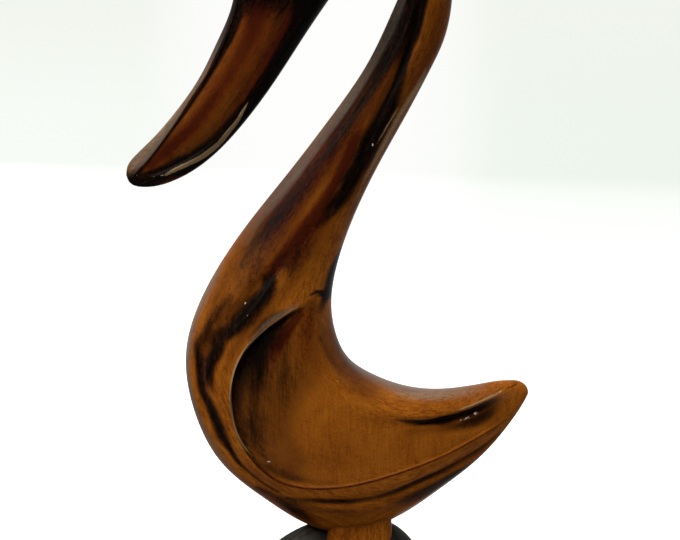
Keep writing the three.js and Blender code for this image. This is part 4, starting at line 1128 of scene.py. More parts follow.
@dataclass
class Foot:
    """The short block under the keel, one with the bird: a rounded rectangle that widens downwards."""

    x: float = 8.4
    half_width: float = 13.2
    half_depth: float = 11.0
    top: float = 52.0
    bottom: float = 9.0
    flare: float = 1.5
    corner: float = 6.0
    flow_start: float = 520.0

    def build(self, name: str, grow: float = 0.0, columns: int = 96, levels: int = 40) -> bpy.types.Object:
        """Builds the block as rings of a rounded rectangle, whose spread eases out on the way down.

        Args:
            name: The object's name.
            grow: How far the surface is moved outwards, in millimetres.
            columns: Points in each ring.
            levels: Gaps between the rings.

        Returns:
            The block.
        """
        share = np.linspace(0.0, 1.0, levels + 1)[:, None]
        angle = 2.0 * math.pi * (np.arange(columns) + 0.5) / columns
        corner = self.corner + grow
        spread = self.flare * eased(share) + grow
        x = self.x + np.sign(np.cos(angle)) * (self.half_width + spread - corner) + corner * np.cos(angle)
        y = np.sign(np.sin(angle)) * (self.half_depth + spread - corner) + corner * np.sin(angle)
        z = self.top + grow + (self.bottom - self.top - 2.0 * grow) * share + 0.0 * angle
        rings = np.stack([x, y, z], axis=-1).reshape(-1, 3)
        poles = np.array([[self.x, 0.0, self.top + grow], [self.x, 0.0, self.bottom - grow]])
        points = np.concatenate([poles[:1], rings, poles[1:]])
        block = fill_mesh(name, points, ring_faces(levels + 1, columns))
        flow = np.stack([points[:, 0] - self.x, self.flow_start - points[:, 2], points[:, 1]], axis=1)
        store(block.data, "flow", flow)
        return block


@dataclass
class Bird:
    """The pelican with its foot: one carved solid, stain worked into its hollows by rubbing, with painted
    shade and sheen.
    """

    carving: Carving = field(default_factory=Carving)
    foot: Foot = field(default_factory=Foot)
    rows: int = 380
    detail: float = 1.2
    eye_x: float = -20.1
    eye_z: float = 288.9
    eye_radius: float = 2.5
    eye_depth: float = 1.0
    ball_rings: int = 32
    ball_columns: int = 64
    crease_angle: float = 38.0
    chip_spread: float = 1.6
    field_rise: float = 6.0
    field_fall: float = 12.0
    field_top: float = 140.0
    seat_rows: int = 150
    seat_detail: float = 0.4
    seat_columns: int = 48
    seat_levels: int = 12

    def shell(self, name: str, rows: int, detail: float, grow: float = 0.0) -> bpy.types.Object:
        """Builds the carved surface without its foot or its eyes.

        Args:
            name: The object's name.
            rows: How many sections there are.
            detail: How many times the plain number of points each has.
            grow: How far the surface is moved outwards, in millimetres.

        Returns:
            The carved surface.
        """
        points, flow, around = self.carving.surface(rows, detail, grow)
        shell = fill_mesh(name, points, ring_faces(rows, around))
        store(shell.data, "flow", flow)
        return shell

    def eye_cutter(self, side: float, surface: float) -> bpy.types.Object:
        """A ball that dishes an eye into one side of the head.

        Args:
            side: -1 for the side towards -Y, 1 for the other.
            surface: The head's half thickness at the eye, in millimetres.

        Returns:
            The ball: rings of latitude about the upright axis.
        """
        dish = (self.eye_radius**2 + self.eye_depth**2) / (2.0 * self.eye_depth)
        down = np.linspace(0.0, math.pi, self.ball_rings + 2)[1:-1, None]
        angle = 2.0 * math.pi * np.arange(self.ball_columns) / self.ball_columns
        x, y = np.sin(down) * np.cos(angle), np.sin(down) * np.sin(angle)
        ball = np.stack([x, y, np.broadcast_to(np.cos(down), x.shape)], axis=-1).reshape(-1, 3)
        ball = np.concatenate([[[0.0, 0.0, 1.0]], ball, [[0.0, 0.0, -1.0]]]) * dish
        centre = np.array([self.eye_x, side * (surface - self.eye_depth + dish), self.eye_z])
        return fill_mesh("eye_cutter", ball + centre, ring_faces(self.ball_rings, self.ball_columns))

    def dress(self, mesh: bpy.types.Mesh) -> None:
        """Lays every stroke and chip on the finished mesh as attributes that the finish reads.

        Strokes of a tone build up as layers do: what is left bare by one is covered by the next. The wing's
        field is eased in from its front ledge and from the shoulder's.

        Args:
            mesh: The bird's mesh.
        """
        points = points_of(mesh)
        x, z = points[:, 0], points[:, 2]
        bare = {tone: np.ones(len(points)) for tone in Tone}
        for stroke in STROKES:
            bare[stroke.tone] *= 1.0 - stroke.cover(x, z)
        for tone, left in bare.items():
            store(mesh, tone.value, 1.0 - left)
        chipped = np.zeros(len(points))
        for chip_x, chip_z, radius in CHIPS:
            away = np.hypot(x - chip_x, z - chip_z)
            chipped = np.maximum(chipped, 1.0 - eased(away / (self.chip_spread * radius)))
        store(mesh, "chipped", chipped * (points[:, 1] < 0.0))
        wing, _ = self.carving.wing.nearest(x, z)
        shoulder, _ = self.carving.shoulder.nearest(x, z)
        inside = eased(wing / self.field_rise) * eased(-shoulder / self.field_fall)
        store(mesh, "wing_field", inside * (z < self.field_top))

    def build(self, finish: "StainedWood") -> bpy.types.Object:
        """Builds the whole bird and dresses it.

        Args:
            finish: The wood's finish.

        Returns:
            The bird, which stands for the CAD's pelican.
        """
        bird = self.shell("pelican_carving", self.rows, self.detail)
        place = points_of(bird.data)
        near_eye = np.hypot(place[:, 0] - self.eye_x, place[:, 2] - self.eye_z) < 2.0 * self.eye_radius
        surface = float(np.abs(place[near_eye, 1]).max())
        others = [(self.foot.build("foot_block"), Join.ADD)]
        others += [(self.eye_cutter(side, surface), Join.CUT) for side in (-1.0, 1.0)]
        join_solids(bird, others)
        soften(bird.data, self.crease_angle)
        self.dress(bird.data)
        bird.data.materials.clear()
        bird.data.materials.append(finish.material())
        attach(bird, "root")
        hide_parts("pelican")
        return bird

    def seat(self, gap: float) -> list[bpy.types.Object]:
        """The bird and its foot, plainer and grown by a gap, for cutting the mound clear of them."""
        body = self.shell("seat_body", self.seat_rows, self.seat_detail, gap)
        return [body, self.foot.build("seat_foot", gap, self.seat_columns, self.seat_levels)]


@dataclass
class Mound:
    """The dark base: a ridged mound, gouged all round, with a seat cut into its top for the foot."""

    height: float = 37.8
    to_tail: float = 42.0
    to_bill: float = 47.5
    half_depth: float = 34.0
    crest_power: tuple[float, float] = (1.88, 4.0)
    side_power: float = 1.04
    end_narrowness: int = 6
    fall_power: tuple[float, float] = (1.35, 1.0)
    gouges: int = 15
    gouge_depth: float = 0.075
    wander: tuple[Triple, ...] = ((0.22, 2.0, 1.0), (0.12, 3.0, 4.0))
    cut_depth: float = 0.012
    cuts: float = 19.0
    cut_sway: float = 2.2
    cut_slant: float = 3.0
    scratch_depth: float = 0.006
    scratches: float = 41.0
    scratch_slant: float = 9.0
    rings: int = 110
    columns: int = 416
    crease_angle: float = 30.0
    seat_gap: float = 0.05

    def turn(self, angle: np.ndarray) -> np.ndarray:
        """The direction round the mound, wandering as the gouges' spacing does: a sum of sines is added."""
        return angle + sum(amount * np.sin(waves * angle + start) for amount, waves, start in self.wander)

    def arch(self, turn: np.ndarray) -> np.ndarray:
        """0 on the ridges between the gouges and 1 in the middle of each: half a sine wave over a gouge."""
        return np.abs(np.sin(self.gouges * turn / 2.0))

    def surface(self) -> np.ndarray:
        """Points of the mound: down each direction a superellipse falls from the crest to the rim.

        The radius is drawn in by the gouges, a row of arches whose spacing wanders round the mound, and by
        small chisel cuts, and the underside is flat.

        Returns:
            The rings of points, from the crest down to the rim, in millimetres.
        """
        down = (math.pi / 2.0) * (np.arange(1, self.rings + 1) / self.rings)[:, None]
        angle = 2.0 * math.pi * np.arange(self.columns) / self.columns
        cos, sin = np.cos(angle), np.sin(angle)
        lengthwise = cos**self.end_narrowness
        crest = np.where(cos > 0.0, self.crest_power[1], self.crest_power[0])
        power = crest * lengthwise + self.side_power * (1.0 - lengthwise)
        fall = self.fall_power[0] * lengthwise + self.fall_power[1] * (1.0 - lengthwise)
        reach = 1.0 / np.hypot(cos / np.where(cos > 0.0, self.to_tail, self.to_bill), sin / self.half_depth)
        turn = self.turn(angle)
        gouge = self.gouge_depth * self.arch(turn)
        cut = np.sin(self.cuts * turn + self.cut_sway * np.sin(3.0 * turn) + self.cut_slant * down)
        scratch = np.sin(self.scratches * turn + self.scratch_slant * down)
        fine = self.cut_depth * np.abs(cut) + self.scratch_depth * scratch
        radius = reach * np.sin(down) ** (2.0 / power) * (1.0 - (gouge + fine) * np.sin(down))
        z = self.height * np.cos(down) ** (2.0 / fall)
        z[-1] = 0.0
        return np.stack([radius * cos, radius * sin, z], axis=-1)

    def build(self, finish: "DarkWood", seat: list[bpy.types.Object]) -> bpy.types.Object:
        """Builds the mound, cuts its seat and dresses it.

        Args:
            finish: The dark wood's finish.
            seat: The solids to cut away.

        Returns:
            The mound, which stands for the CAD's mound.
        """
        rings = self.surface()
        poles = np.array([[0.0, 0.0, self.height], [0.0, 0.0, 0.0]])
        points = np.concatenate([poles[:1], rings.reshape(-1, 3), poles[1:]])
        mound = fill_mesh("mound_carving", points, ring_faces(self.rings, self.columns))
        store(mound.data, "hollow", self.arch(self.turn(np.arctan2(points[:, 1], points[:, 0]))))
        join_solids(mound, [(solid, Join.CUT) for solid in seat])
        soften(mound.data, self.crease_angle)
        mound.data.materials.clear()
        mound.data.materials.append(finish.material())
        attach(mound, "root")
        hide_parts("mound")
        return mound


class Term:
    """A shader socket that can stand in arithmetic: each operator adds the Math node that works it out."""

    def __init__(self, shader: "Shader", socket: bpy.types.NodeSocket) -> None:
        """Keeps the socket and the shader that it belongs to."""
        self.shader = shader
        self.socket = socket

    def _math(self, operation: str, first: "Term | float", second: "Term | float") -> "Term":
        """One Math node on two values."""
        node = self.shader.node("ShaderNodeMath", {"operation": operation}, {0: first, 1: second})
        return Term(self.shader, node.outputs[0])

    def __add__(self, other: "Term | float") -> "Term":
        """The sum."""
        return self._math("ADD", self, other)

    def __radd__(self, other: float) -> "Term":
        """The sum, with the number first."""
        return self._math("ADD", other, self)

    def __sub__(self, other: "Term | float") -> "Term":
        """The difference."""
        return self._math("SUBTRACT", self, other)

    def __rsub__(self, other: float) -> "Term":
        """The number less this."""
        return self._math("SUBTRACT", other, self)

    def __mul__(self, other: "Term | float") -> "Term":
        """The product."""
        return self._math("MULTIPLY", self, other)

    def __rmul__(self, other: float) -> "Term":
        """The product, with the number first."""
        return self._math("MULTIPLY", other, self)

    def __truediv__(self, other: "Term | float") -> "Term":
        """The ratio."""
        return self._math("DIVIDE", self, other)

    def __pow__(self, other: float) -> "Term":
        """This raised to a power."""
        return self._math("POWER", self, other)


@dataclass(frozen=True)
class Noise:
    """A fractal pattern: how often it repeats along each axis, its layers, their roughness and its bend."""

    rate: Triple
    detail: float
    roughness: float
    distortion: float = 0.0


class Shader:
    """Builds the nodes of one material or of the world."""

    def __init__(self, holder: bpy.types.Material | bpy.types.World) -> None:
        """Empties the node tree of a new material or world.

        Args:
            holder: The material or world.
        """
        self.holder = holder
        holder.use_nodes = True
        self.tree = holder.node_tree
        self.tree.nodes.clear()

    def node(self, kind: str, settings: dict, inputs: dict) -> bpy.types.Node:
        """Adds a node: its settings first, and then the values or links of its sockets.

        Args:
            kind: The node's type.
            settings: Property names and values; stops is a ramp's list of position and colour.
            inputs: Socket names or numbers, each with a value, a Term or a socket.

        Returns:
            The node.
        """
        made = self.tree.nodes.new(kind)
        for key, value in settings.items():
            if key == "stops":
                self._set_stops(made.color_ramp, value)
            else:
                setattr(made, key, value)
        for key, value in inputs.items():
            if isinstance(value, Term):
                self.tree.links.new(value.socket, made.inputs[key])
            elif isinstance(value, bpy.types.NodeSocket):
                self.tree.links.new(value, made.inputs[key])
            else:
                made.inputs[key].default_value = value
        return made

    def _set_stops(self, ramp: bpy.types.ColorRamp, stops: list[tuple[float, Colour]]) -> None:
        """Gives a ramp its stops.

        Args:
            ramp: The ramp.
            stops: Each stop's position and colour, in order.
        """
        while len(ramp.elements) < len(stops):
            ramp.elements.new(0.5)
        for element, (position, colour) in zip(ramp.elements, stops):
            element.position = position
            element.color = colour

    def attribute(self, name: str, output: str = "Fac") -> Term:
        """A named attribute of the mesh, as a number or as a vector."""
        made = self.node("ShaderNodeAttribute", {"attribute_name": name}, {})
        return Term(self, made.outputs[output])

    def place(self) -> Term:
        """The place on the object, in metres."""
        return Term(self, self.node("ShaderNodeTexCoord", {}, {}).outputs["Object"])

    def part(self, vector: Term | bpy.types.NodeSocket, axis: int) -> Term:
        """One of a vector's three parts, by its number from 0."""
        return Term(self, self.node("ShaderNodeSeparateXYZ", {}, {0: vector}).outputs[axis])

    def noise(self, vector: Term, pattern: Noise) -> Term:
        """Fractal noise, about one half on average, over a vector whose parts are multiplied by its rates.

        Args:
            vector: Where the noise is read.
            pattern: Its rates and its roughness.

        Returns:
            The noise.
        """
        made = self.node("ShaderNodeVectorMath", {"operation": "MULTIPLY"}, {0: vector, 1: pattern.rate})
        made = self.node("ShaderNodeTexNoise", {"noise_dimensions": "3D"}, {
            "Vector": made.outputs[0], "Scale": 1.0, "Detail": pattern.detail,
            "Roughness": pattern.roughness, "Distortion": pattern.distortion,
        })
        return Term(self, made.outputs[0])

    def step(self, value: Term, span: Span) -> Term:
        """0 below a span, 1 above it and eased from one to the other inside it.

        Args:
            value: The value.
            span: The span's two ends.

        Returns:
            The step.
        """
        made = self.node("ShaderNodeMapRange", {"interpolation_type": "SMOOTHSTEP", "clamp": True}, {
            "Value": value, "From Min": span[0], "From Max": span[1], "To Min": 0.0, "To Max": 1.0,
        })
        return Term(self, made.outputs[0])

    def mixed(self, factor: Term | float, low: Term | Colour, high: Term | Colour) -> Term:
        """Two colours mixed by a factor.

        Args:
            factor: The share of the second colour.
            low: The first colour.
            high: The second colour.

        Returns:
            The mixed colour.
        """
        made = self.node("ShaderNodeMix", {"data_type": "RGBA", "blend_type": "MIX"}, {})
        for socket, value in ((made.inputs[0], factor), (made.inputs[6], low), (made.inputs[7], high)):
            if isinstance(value, Term):
                self.tree.links.new(value.socket, socket)
            else:
                socket.default_value = value
        return Term(self, made.outputs[2])

    def bump(self, height: Term, distance: float, strength: float, normal: Term | None = None) -> Term:
        """A bump from a height.

        Args:
            height: The height, in shares of the distance.
            distance: The distance, in metres.
            strength: The share of the bump that shows.
            normal: The normal that is bumped, where it isn't the surface's own.

        Returns:
            The new normal.
        """
        inputs = {"Height": height, "Distance": distance, "Strength": strength}
        if normal is not None:
            inputs["Normal"] = normal
        return Term(self, self.node("ShaderNodeBump", {}, inputs).outputs[0])

    def finish(self, inputs: dict) -> bpy.types.Material:
        """Ends the material in one Principled shader.

        Args:
            inputs: The shader's sockets, each with a value, a Term or a socket.

        Returns:
            The material.
        """
        surface = self.node("ShaderNodeBsdfPrincipled", {}, inputs)
        self.node("ShaderNodeOutputMaterial", {}, {"Surface": surface.outputs[0]})
        return self.holder


@dataclass(frozen=True)
class Weights:
    """How much each pattern of the grain counts in a sum, each as its difference from one half."""

    streak: float = 0.0
    short: float = 0.0
    broad: float = 0.0
    mottle: float = 0.0
    speck: float = 0.0
    cloud: float = 0.0


@dataclass
class Grain:
    """The patterns in a piece of wood, each about one half on average."""

    streak: Term
    short: Term
    broad: Term
    mottle: Term
    speck: Term
    cloud: Term

    def total(self, weights: Weights) -> Term:
        """The sum of the patterns that have a weight: each less one half, times its weight.

        Args:
            weights: The weights.

        Returns:
            The sum, about zero on average.
        """
        total: Term | float = 0.0
        for name, weight in vars(weights).items():
            if weight:
                total = total + (getattr(self, name) - 0.5) * weight
        return total


@dataclass(frozen=True)
class StainedWood:
    """Amber brown wood under a satin varnish, dark and red stain worked in, wear, chips, painted shade and
    sheen.

    The grain's rates are per millimetre across the bird, along it and through it, and those of the upright
    grain, the specks, the crumbs and the clouds are per metre of x, y and z.
    """

    amber: Colour = paint(136, 74, 16)
    amber_pale: Colour = paint(158, 92, 24)
    amber_deep: Colour = paint(104, 52, 10)
    red: Colour = paint(92, 32, 8)
    maroon: Colour = paint(60, 14, 6)
    dark: Colour = paint(5, 4, 3)
    dark_thin: Colour = paint(40, 18, 7)
    dark_red: Colour = paint(50, 13, 5)
    # Pale colour of wear and of painted sheen and highlights.
    worn: Colour = paint(150, 126, 92)
    # Grey of rubbing and of painted sheen.
    grey: Colour = paint(100, 90, 80)
    bare: Colour = paint(226, 214, 186)
    broad: Noise = Noise((0.3, 0.016, 0.06), 3.0, 0.55, 0.6)
    long_streak: Noise = Noise((1.3, 0.05, 0.3), 4.0, 0.6, 0.3)
    fine_streak: Noise = Noise((1.1, 0.12, 0.6), 5.0, 0.75, 0.4)
    short_streak: Noise = Noise((1.9, 0.22, 0.8), 4.0, 0.7, 0.2)
    mottle: Noise = Noise((0.9, 0.35, 0.6), 5.0, 0.8, 0.5)
    waves: Noise = Noise((0.22, 0.09, 0.12), 2.0, 0.5)
    upright: Noise = Noise((1100.0, 600.0, 90.0), 5.0, 0.65, 0.4)
    speck: Noise = Noise((2300.0, 2300.0, 2300.0), 3.0, 0.75)
    crumb: Noise = Noise((1500.0, 1500.0, 1500.0), 2.0, 0.6)
    cloud: Noise = Noise((38.0, 38.0, 38.0), 4.0, 0.55, 0.6)
    streak_shares: Triple = (0.3, 0.35, 0.35)
    tone: Weights = Weights(streak=1.1, cloud=0.45, mottle=0.5, speck=0.55)
    tone_less_inside: Weights = Weights(streak=0.8, mottle=0.25)
    tone_inside: float = 0.03
    tone_stops: Triple = (0.36, 0.50, 0.66)
    uneven: Weights = Weights(streak=1.7, broad=0.3, mottle=1.5, speck=0.9)
    calm_inside: float = 0.5
    darkening_heights: Span = (0.135, 0.19)
    darkening_cover: float = 0.42
    red_gain: float = 1.1
    red_uneven: float = 0.5
    red_start: float = -0.06
    red_with_height: float = 0.12
    red_span: Span = (0.1, 1.0)
    red_cover: float = 0.9
    maroon_span: Span = (0.45, 1.0)
    dark_uneven: Span = (0.35, 0.5)
    thin_span: Span = (0.05, 0.7)
    thin_cover: float = 0.85
    dark_span: Span = (0.38, 1.0)
    grey_uneven: float = 0.4
    grey_span: Span = (0.15, 0.95)
    grey_cover: float = 0.7
    pores: Weights = Weights(short=0.6, speck=0.4)
    pore_span: Span = (-0.10, 0.02)
    pore_cover: float = 0.25
    pore_less_inside: float = 0.17
    wear_and_sheen_uneven: Weights = Weights(speck=0.6, short=0.4)
    wear_and_sheen_span: Span = (0.35, 0.75)
    wear_and_sheen_cover: float = 0.8
    chip_uneven: float = 1.1
    chip_span: Span = (0.55, 0.8)
    roughness: float = 0.46
    rough_grain: Weights = Weights(cloud=0.12, speck=0.12)
    rough_wear_and_sheen: float = 0.16
    rough_chip: float = 0.25
    relief: Weights = Weights(streak=0.4, speck=0.2)
    relief_pore: float = 0.15
    relief_chip: float = 0.8
    relief_bump: Span = (0.0002, 0.5)
    wave_bump: Span = (0.0006, 0.35)
    specular: float = 0.01
    coat: float = 0.03
    coat_edge: float = 0.9
    coat_power: float = 6.0
    coat_roughness: float = 0.32

    def grain(self, s: Shader, flow: Term, place: Term, inside: Term) -> Grain:
        """Builds the grain, which follows the bird's bend and stands upright in the wing's field.

        Args:
            s: The shader that gets the nodes.
            flow: The place across, along and through the bird, in millimetres.
            place: The place on the object, in metres.
            inside: The share inside the wing's field.

        Returns:
            The grain.
        """
        short = s.noise(flow, self.short_streak)
        streaks = (s.noise(flow, self.long_streak), s.noise(flow, self.fine_streak), short)
        first, second, third = (streak * share for streak, share in zip(streaks, self.streak_shares))
        streak = (first + second + third) * (1.0 - inside) + s.noise(place, self.upright) * inside
        broad, mottle = s.noise(flow, self.broad), s.noise(flow, self.mottle)
        return Grain(streak, short, broad, mottle, s.noise(place, self.speck), s.noise(place, self.cloud))

    def amber_wood(self, s: Shader, grain: Grain, inside: Term) -> Term:
        """The wood's own colour: a tone about one half, read off a ramp of three ambers.

        Args:
            s: The shader that gets the nodes.
            grain: The grain.
            inside: The share inside the wing's field, where the tone varies less.

        Returns:
            The colour.
        """
        tone = 0.5 + self.tone_inside * inside + grain.total(self.tone)
        tone = tone - inside * grain.total(self.tone_less_inside)
        stops = list(zip(self.tone_stops, (self.amber_deep, self.amber, self.amber_pale)))
        return Term(s, s.node("ShaderNodeValToRGB", {"stops": stops}, {0: tone}).outputs[0])

    def stained(self, s: Shader, wood: Term, uneven: Term, smoke: Term, inside: Term) -> Term:
        """Darkens the wood higher up, then rubs in red to maroon, thin dark and full dark, and last grey.

        Each layer is a step of the strokes' strength made uneven by the grain.

        Args:
            s: The shader that gets the nodes.
            wood: The colour so far.
            uneven: The grain's unevenness, about zero.
            smoke: The share of the darker tint, which grows with the height.
            inside: The share inside the wing's field, where the dark is more even.

        Returns:
            The colour with its stains, painted shade and painted sheen.
        """
        # A darker tint higher up.
        wood = s.mixed(smoke * self.darkening_cover, wood, self.dark_thin)
        laid = s.attribute(Tone.RED.value) * self.red_gain + self.red_start + self.red_with_height * smoke
        red = s.step(laid + uneven * self.red_uneven, self.red_span)
        deep = s.mixed(s.step(red, self.maroon_span), self.red, self.maroon)
        wood = s.mixed(red * self.red_cover, wood, deep)
        # The dark strokes hold stain and painted shade.
        stain = s.attribute(Tone.DARK.value)
        varied = self.dark_uneven[0] + self.dark_uneven[1] * stain
        body = stain + uneven * varied * (1.0 - self.calm_inside * inside)
        thin = s.mixed(red, self.dark_thin, self.dark_red)
        wood = s.mixed(s.step(body, self.thin_span) * self.thin_cover, wood, thin)
        wood = s.mixed(s.step(body, self.dark_span), wood, self.dark)
        # The grey strokes hold grey rubbing and painted sheen.
        grey = s.step(s.attribute(Tone.GREY.value) + uneven * self.grey_uneven, self.grey_span)
        return s.mixed(grey * self.grey_cover, wood, self.grey)

    def material(self) -> bpy.types.Material:
        """Builds the finish: grain, stain with painted shade, pores, wear with painted sheen, chips, varnish
        over all.

        Returns:
            The material.
        """
        s = Shader(bpy.data.materials.new("stained_amber_wood"))
        flow, place, inside = s.attribute("flow", "Vector"), s.place(), s.attribute("wing_field")
        grain = self.grain(s, flow, place, inside)
        # Darker higher up: the share grows with the height.
        smoke = s.step(s.part(place, 2), self.darkening_heights)
        wood = self.stained(s, self.amber_wood(s, grain, inside), grain.total(self.uneven), smoke, inside)
        pore = s.step(grain.total(self.pores), self.pore_span)
        pitted = (1.0 - pore) * (self.pore_cover - self.pore_less_inside * inside)
        wood = s.mixed(pitted, wood, self.dark_thin)
        # Pale wear, with painted sheen and highlights on rims, flats and crests.
        worn = s.step(s.attribute(Tone.WORN.value) + grain.total(self.wear_and_sheen_uneven), self.wear_and_sheen_span)
        wood = s.mixed(worn * self.wear_and_sheen_cover, wood, self.worn)
        crumbled = (s.noise(place, self.crumb) - 0.5) * self.chip_uneven
        chip = s.step(s.attribute("chipped") + crumbled, self.chip_span)
        wood = s.mixed(chip, wood, self.bare)
        rough = self.roughness + grain.total(self.rough_grain)
        rough = rough + self.rough_wear_and_sheen * worn + self.rough_chip * chip
        relief = grain.total(self.relief) + pore * self.relief_pore - chip * self.relief_chip
        normal = s.bump(relief, *self.relief_bump, s.bump(s.noise(flow, self.waves), *self.wave_bump))
        facing = Term(s, s.node("ShaderNodeLayerWeight", {}, {"Blend": 0.5}).outputs["Facing"])
        return s.finish({
            "Base Color": wood, "Roughness": rough, "Normal": normal, "Specular IOR Level": self.specular,
            "Coat Weight": self.coat + self.coat_edge * facing**self.coat_power,
            "Coat Roughness": self.coat_roughness,
        })


@dataclass(frozen=True)
class DarkWood:
    """Nearly black stained wood, dull in the gouges, grey brown on their ridges from wear and painted
    highlight.

    The grain's rates are per metre of x, y and z.
    """

    black: Colour = paint(13, 12, 8)
    # Grey brown of wear, and of the highlight painted on the ridges.
    grey: Colour = paint(72, 69, 58)
    brown: Colour = paint(32, 26, 17)
    streak: Noise = Noise((520.0, 520.0, 70.0), 5.0, 0.65, 0.6)
    cloud: Noise = Noise((90.0, 90.0, 90.0), 4.0, 0.6)
    speck: Noise = Noise((2200.0, 2200.0, 2200.0), 3.0, 0.7)
    brown_span: Span = (0.35, 0.7)
    wear_streak: float = 0.7
    ridge_highlight: float = 0.35
    wear_speck: float = 0.4
    wear_and_highlight_span: Span = (0.42, 0.85)
    wear_and_highlight_cover: float = 0.8
    roughness: Triple = (0.42, 0.2, 0.12)
    relief: Span = (0.7, 0.3)
    bump: Span = (0.0005, 0.6)
    specular: float = 0.12
    coat: float = 0.08
    coat_roughness: float = 0.35

    def material(self) -> bpy.types.Material:
        """Builds the finish from streaks that run down the mound and from the gouges' ridges.

        Returns:
            The material.
        """
        s = Shader(bpy.data.materials.new("dark_gouged_wood"))
        place = s.place()
        streak, cloud, speck = (s.noise(place, pattern) for pattern in (self.streak, self.cloud, self.speck))
        ridge = 1.0 - s.attribute("hollow")
        # Grey from streaks and specks of wear, and a painted highlight on the gouges' ridges.
        wear_and_highlight = streak * self.wear_streak + ridge * self.ridge_highlight + (speck - 0.5) * self.wear_speck
        wood = s.mixed(s.step(cloud, self.brown_span), self.black, self.brown)
        wood = s.mixed(s.step(wear_and_highlight, self.wear_and_highlight_span) * self.wear_and_highlight_cover, wood, self.grey)
        plain, by_streak, by_speck = self.roughness
        return s.finish({
            "Base Color": wood, "Roughness": plain + by_streak * streak + by_speck * speck,
            "Normal": s.bump(streak * self.relief[0] + speck * self.relief[1], *self.bump),
            "Specular IOR Level": self.specular, "Coat Weight": self.coat,
            "Coat Roughness": self.coat_roughness,
        })


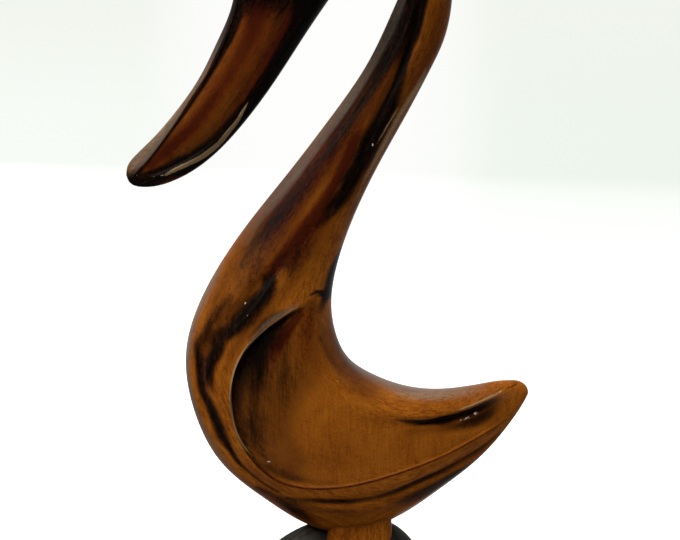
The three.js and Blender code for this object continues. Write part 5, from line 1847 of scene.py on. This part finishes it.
@dataclass
class Studio:
    """A plain pale floor, soft light from a bright room and a camera at the photo's viewing angle."""

    target: Triple = (0.0, 0.0, 0.1445)
    distance: float = 0.7
    elevation: float = 4.0
    lens: float = 87.2
    sensor: float = 36.0
    clip: Span = (0.01, 60.0)
    floor_radius: float = 60.0
    floor_sides: int = 96
    floor_grey: Colour = paint(205, 206, 205)
    floor_glow: Colour = paint(236, 236, 236)
    floor_roughness: float = 0.85
    floor_turn: float = 3.0
    near_share: float = 0.64
    near_fall: Span = (2.0, 4.0)
    far_fall: Span = (4.0, 22.0)
    white: Colour = paint(254, 254, 253)
    low_left: Colour = paint(247, 252, 246)
    low_right: Colour = paint(238, 245, 236)
    high_side: Colour = paint(241, 244, 237)
    white_offset: float = 0.012
    white_span: Span = (0.0005, 0.014)
    side_span: Span = (-0.2, 0.2)
    rise: Span = (0.0, 0.12)
    bright_from: Span = (-0.25, 0.15)
    dim: float = 0.03
    bright: float = 0.5
    ceiling: float = 0.8
    ceiling_span: Span = (-0.1, 0.9)
    to_right: float = 0.3
    below: float = 0.9
    below_span: Span = (0.1, 0.8)
    key_place: Triple = (-0.8, -1.0, 1.8)
    key_aim: Triple = (0.0, 0.0, 0.16)
    key_size: Span = (1.8, 1.4)
    key_power: float = 66.0
    key_colour: Triple = (1.0, 0.98, 0.95)

    def camera(self) -> None:
        """Looks along +Y from a little above, as the photo does."""
        lens = bpy.data.cameras.new("camera")
        lens.lens = self.lens
        lens.sensor_width = self.sensor
        lens.clip_start, lens.clip_end = self.clip
        camera = bpy.data.objects.new("camera", lens)
        bpy.context.scene.collection.objects.link(camera)
        tilt = math.radians(self.elevation)
        target = Vector(self.target)
        camera.location = target + Vector((0.0, -math.cos(tilt), math.sin(tilt))) * self.distance
        camera.rotation_euler = (target - camera.location).to_track_quat("-Z", "Y").to_euler()
        bpy.context.scene.camera = camera

    def wall(self, s: Shader, x: Term, side: Term | Colour) -> Term:
        """The wall's tone at one height: white behind the bird, with another tone to its sides.

        Args:
            s: The shader that gets the nodes.
            x: The way to the right, as a share of the distance.
            side: The tone to the sides.

        Returns:
            The tone.
        """
        off = x + self.white_offset
        return s.mixed(s.step(off * off, self.white_span), self.white, side)

    def haze(self, s: Shader, x: Term) -> Term:
        """The wall's tone at the horizon, where its sides are a pale green grey."""
        return self.wall(s, x, s.mixed(s.step(x, self.side_span), self.low_left, self.low_right))

    def floor(self) -> None:
        """A wide round sheet at the mound's underside, which falls to the wall's tone far behind the bird."""
        angle = 2.0 * math.pi * np.arange(self.floor_sides) / self.floor_sides
        rim = np.stack([np.cos(angle), np.sin(angle), 0.0 * angle], axis=1) * self.floor_radius / MM
        corner = np.arange(self.floor_sides)
        fan = np.stack([np.full_like(corner, self.floor_sides), corner, np.roll(corner, -1)], axis=1)
        sheet = fill_mesh("floor", np.concatenate([rim, [[0.0, 0.0, 0.0]]]), [fan])
        s = Shader(bpy.data.materials.new("pale_floor"))
        measure = s.node("ShaderNodeVectorMath", {"operation": "LENGTH"}, {0: s.place()})
        away, right = Term(s, measure.outputs["Value"]), s.part(s.place(), 0)
        reach = away + self.floor_turn * right
        near = self.near_share * s.step(reach, self.near_fall)
        far = near + (1.0 - self.near_share) * s.step(reach, self.far_fall)
        sheet.data.materials.append(s.finish({
            "Base Color": s.mixed(far, self.floor_grey, paint(0, 0, 0)), "Roughness": self.floor_roughness,
            "Specular IOR Level": 0.0, "Emission Strength": 1.0,
            "Emission Color": s.mixed(far, self.floor_glow, self.haze(s, right / away)),
        }))
        sheet.visible_diffuse = False
        sheet.visible_glossy = False

    def key(self) -> None:
        """A broad light panel above and before the bird on its left, which faces it."""
        light = bpy.data.lights.new("key", "AREA")
        light.shape = "RECTANGLE"
        light.size, light.size_y = self.key_size
        light.energy = self.key_power
        light.color = self.key_colour
        lamp = bpy.data.objects.new("key", light)
        bpy.context.scene.collection.objects.link(lamp)
        lamp.location = self.key_place
        aim = Vector(self.key_aim) - Vector(self.key_place)
        lamp.rotation_euler = aim.to_track_quat("-Z", "Y").to_euler()

    def room(self) -> None:
        """A pale wall that the camera sees, and a room that lights the bird.

        The room is dim in front of the bird, but for a glow from below, and grows bright in an even step
        across its side plane. Behind it is brighter the higher it is, and brighter on the right.
        """
        room = bpy.data.worlds.new("white_room")
        bpy.context.scene.world = room
        s = Shader(room)
        toward = s.node("ShaderNodeTexCoord", {}, {}).outputs["Generated"]
        x, y, z = (s.part(toward, axis) for axis in range(3))
        wall = s.mixed(s.step(z, self.rise), self.haze(s, x), self.wall(s, x, self.high_side))
        behind = s.step(y, self.bright_from)
        glow = self.bright + self.ceiling * s.step(z, self.ceiling_span) + self.to_right * x
        glow = self.dim + behind * glow + self.below * (1.0 - behind) * s.step(0.0 - z, self.below_span)
        seen = s.node("ShaderNodeBackground", {}, {"Color": wall})
        lit = s.node("ShaderNodeBackground", {}, {"Color": (1.0, 1.0, 1.0, 1.0), "Strength": glow})
        ray = s.node("ShaderNodeLightPath", {}, {}).outputs["Is Camera Ray"]
        both = s.node("ShaderNodeMixShader", {}, {0: ray, 1: lit.outputs[0], 2: seen.outputs[0]})
        s.node("ShaderNodeOutputWorld", {}, {"Surface": both.outputs[0]})

    def build(self) -> None:
        """Sets up the camera, the floor and the lights."""
        bpy.context.scene.view_settings.view_transform = "Standard"
        self.camera()
        self.floor()
        self.room()
        self.key()


def main() -> None:
    """Builds the studio, the mound and the bird, and reports each piece."""
    Studio().build()
    bird = Bird()
    pelican = bird.build(StainedWood())
    LOG.info("%s: %d faces", pelican.name, len(pelican.data.polygons))
    mound_sizes = Mound()
    mound = mound_sizes.build(DarkWood(), bird.seat(mound_sizes.seat_gap))
    LOG.info("%s: %d faces", mound.name, len(mound.data.polygons))


if __name__ == "__main__":
    main()
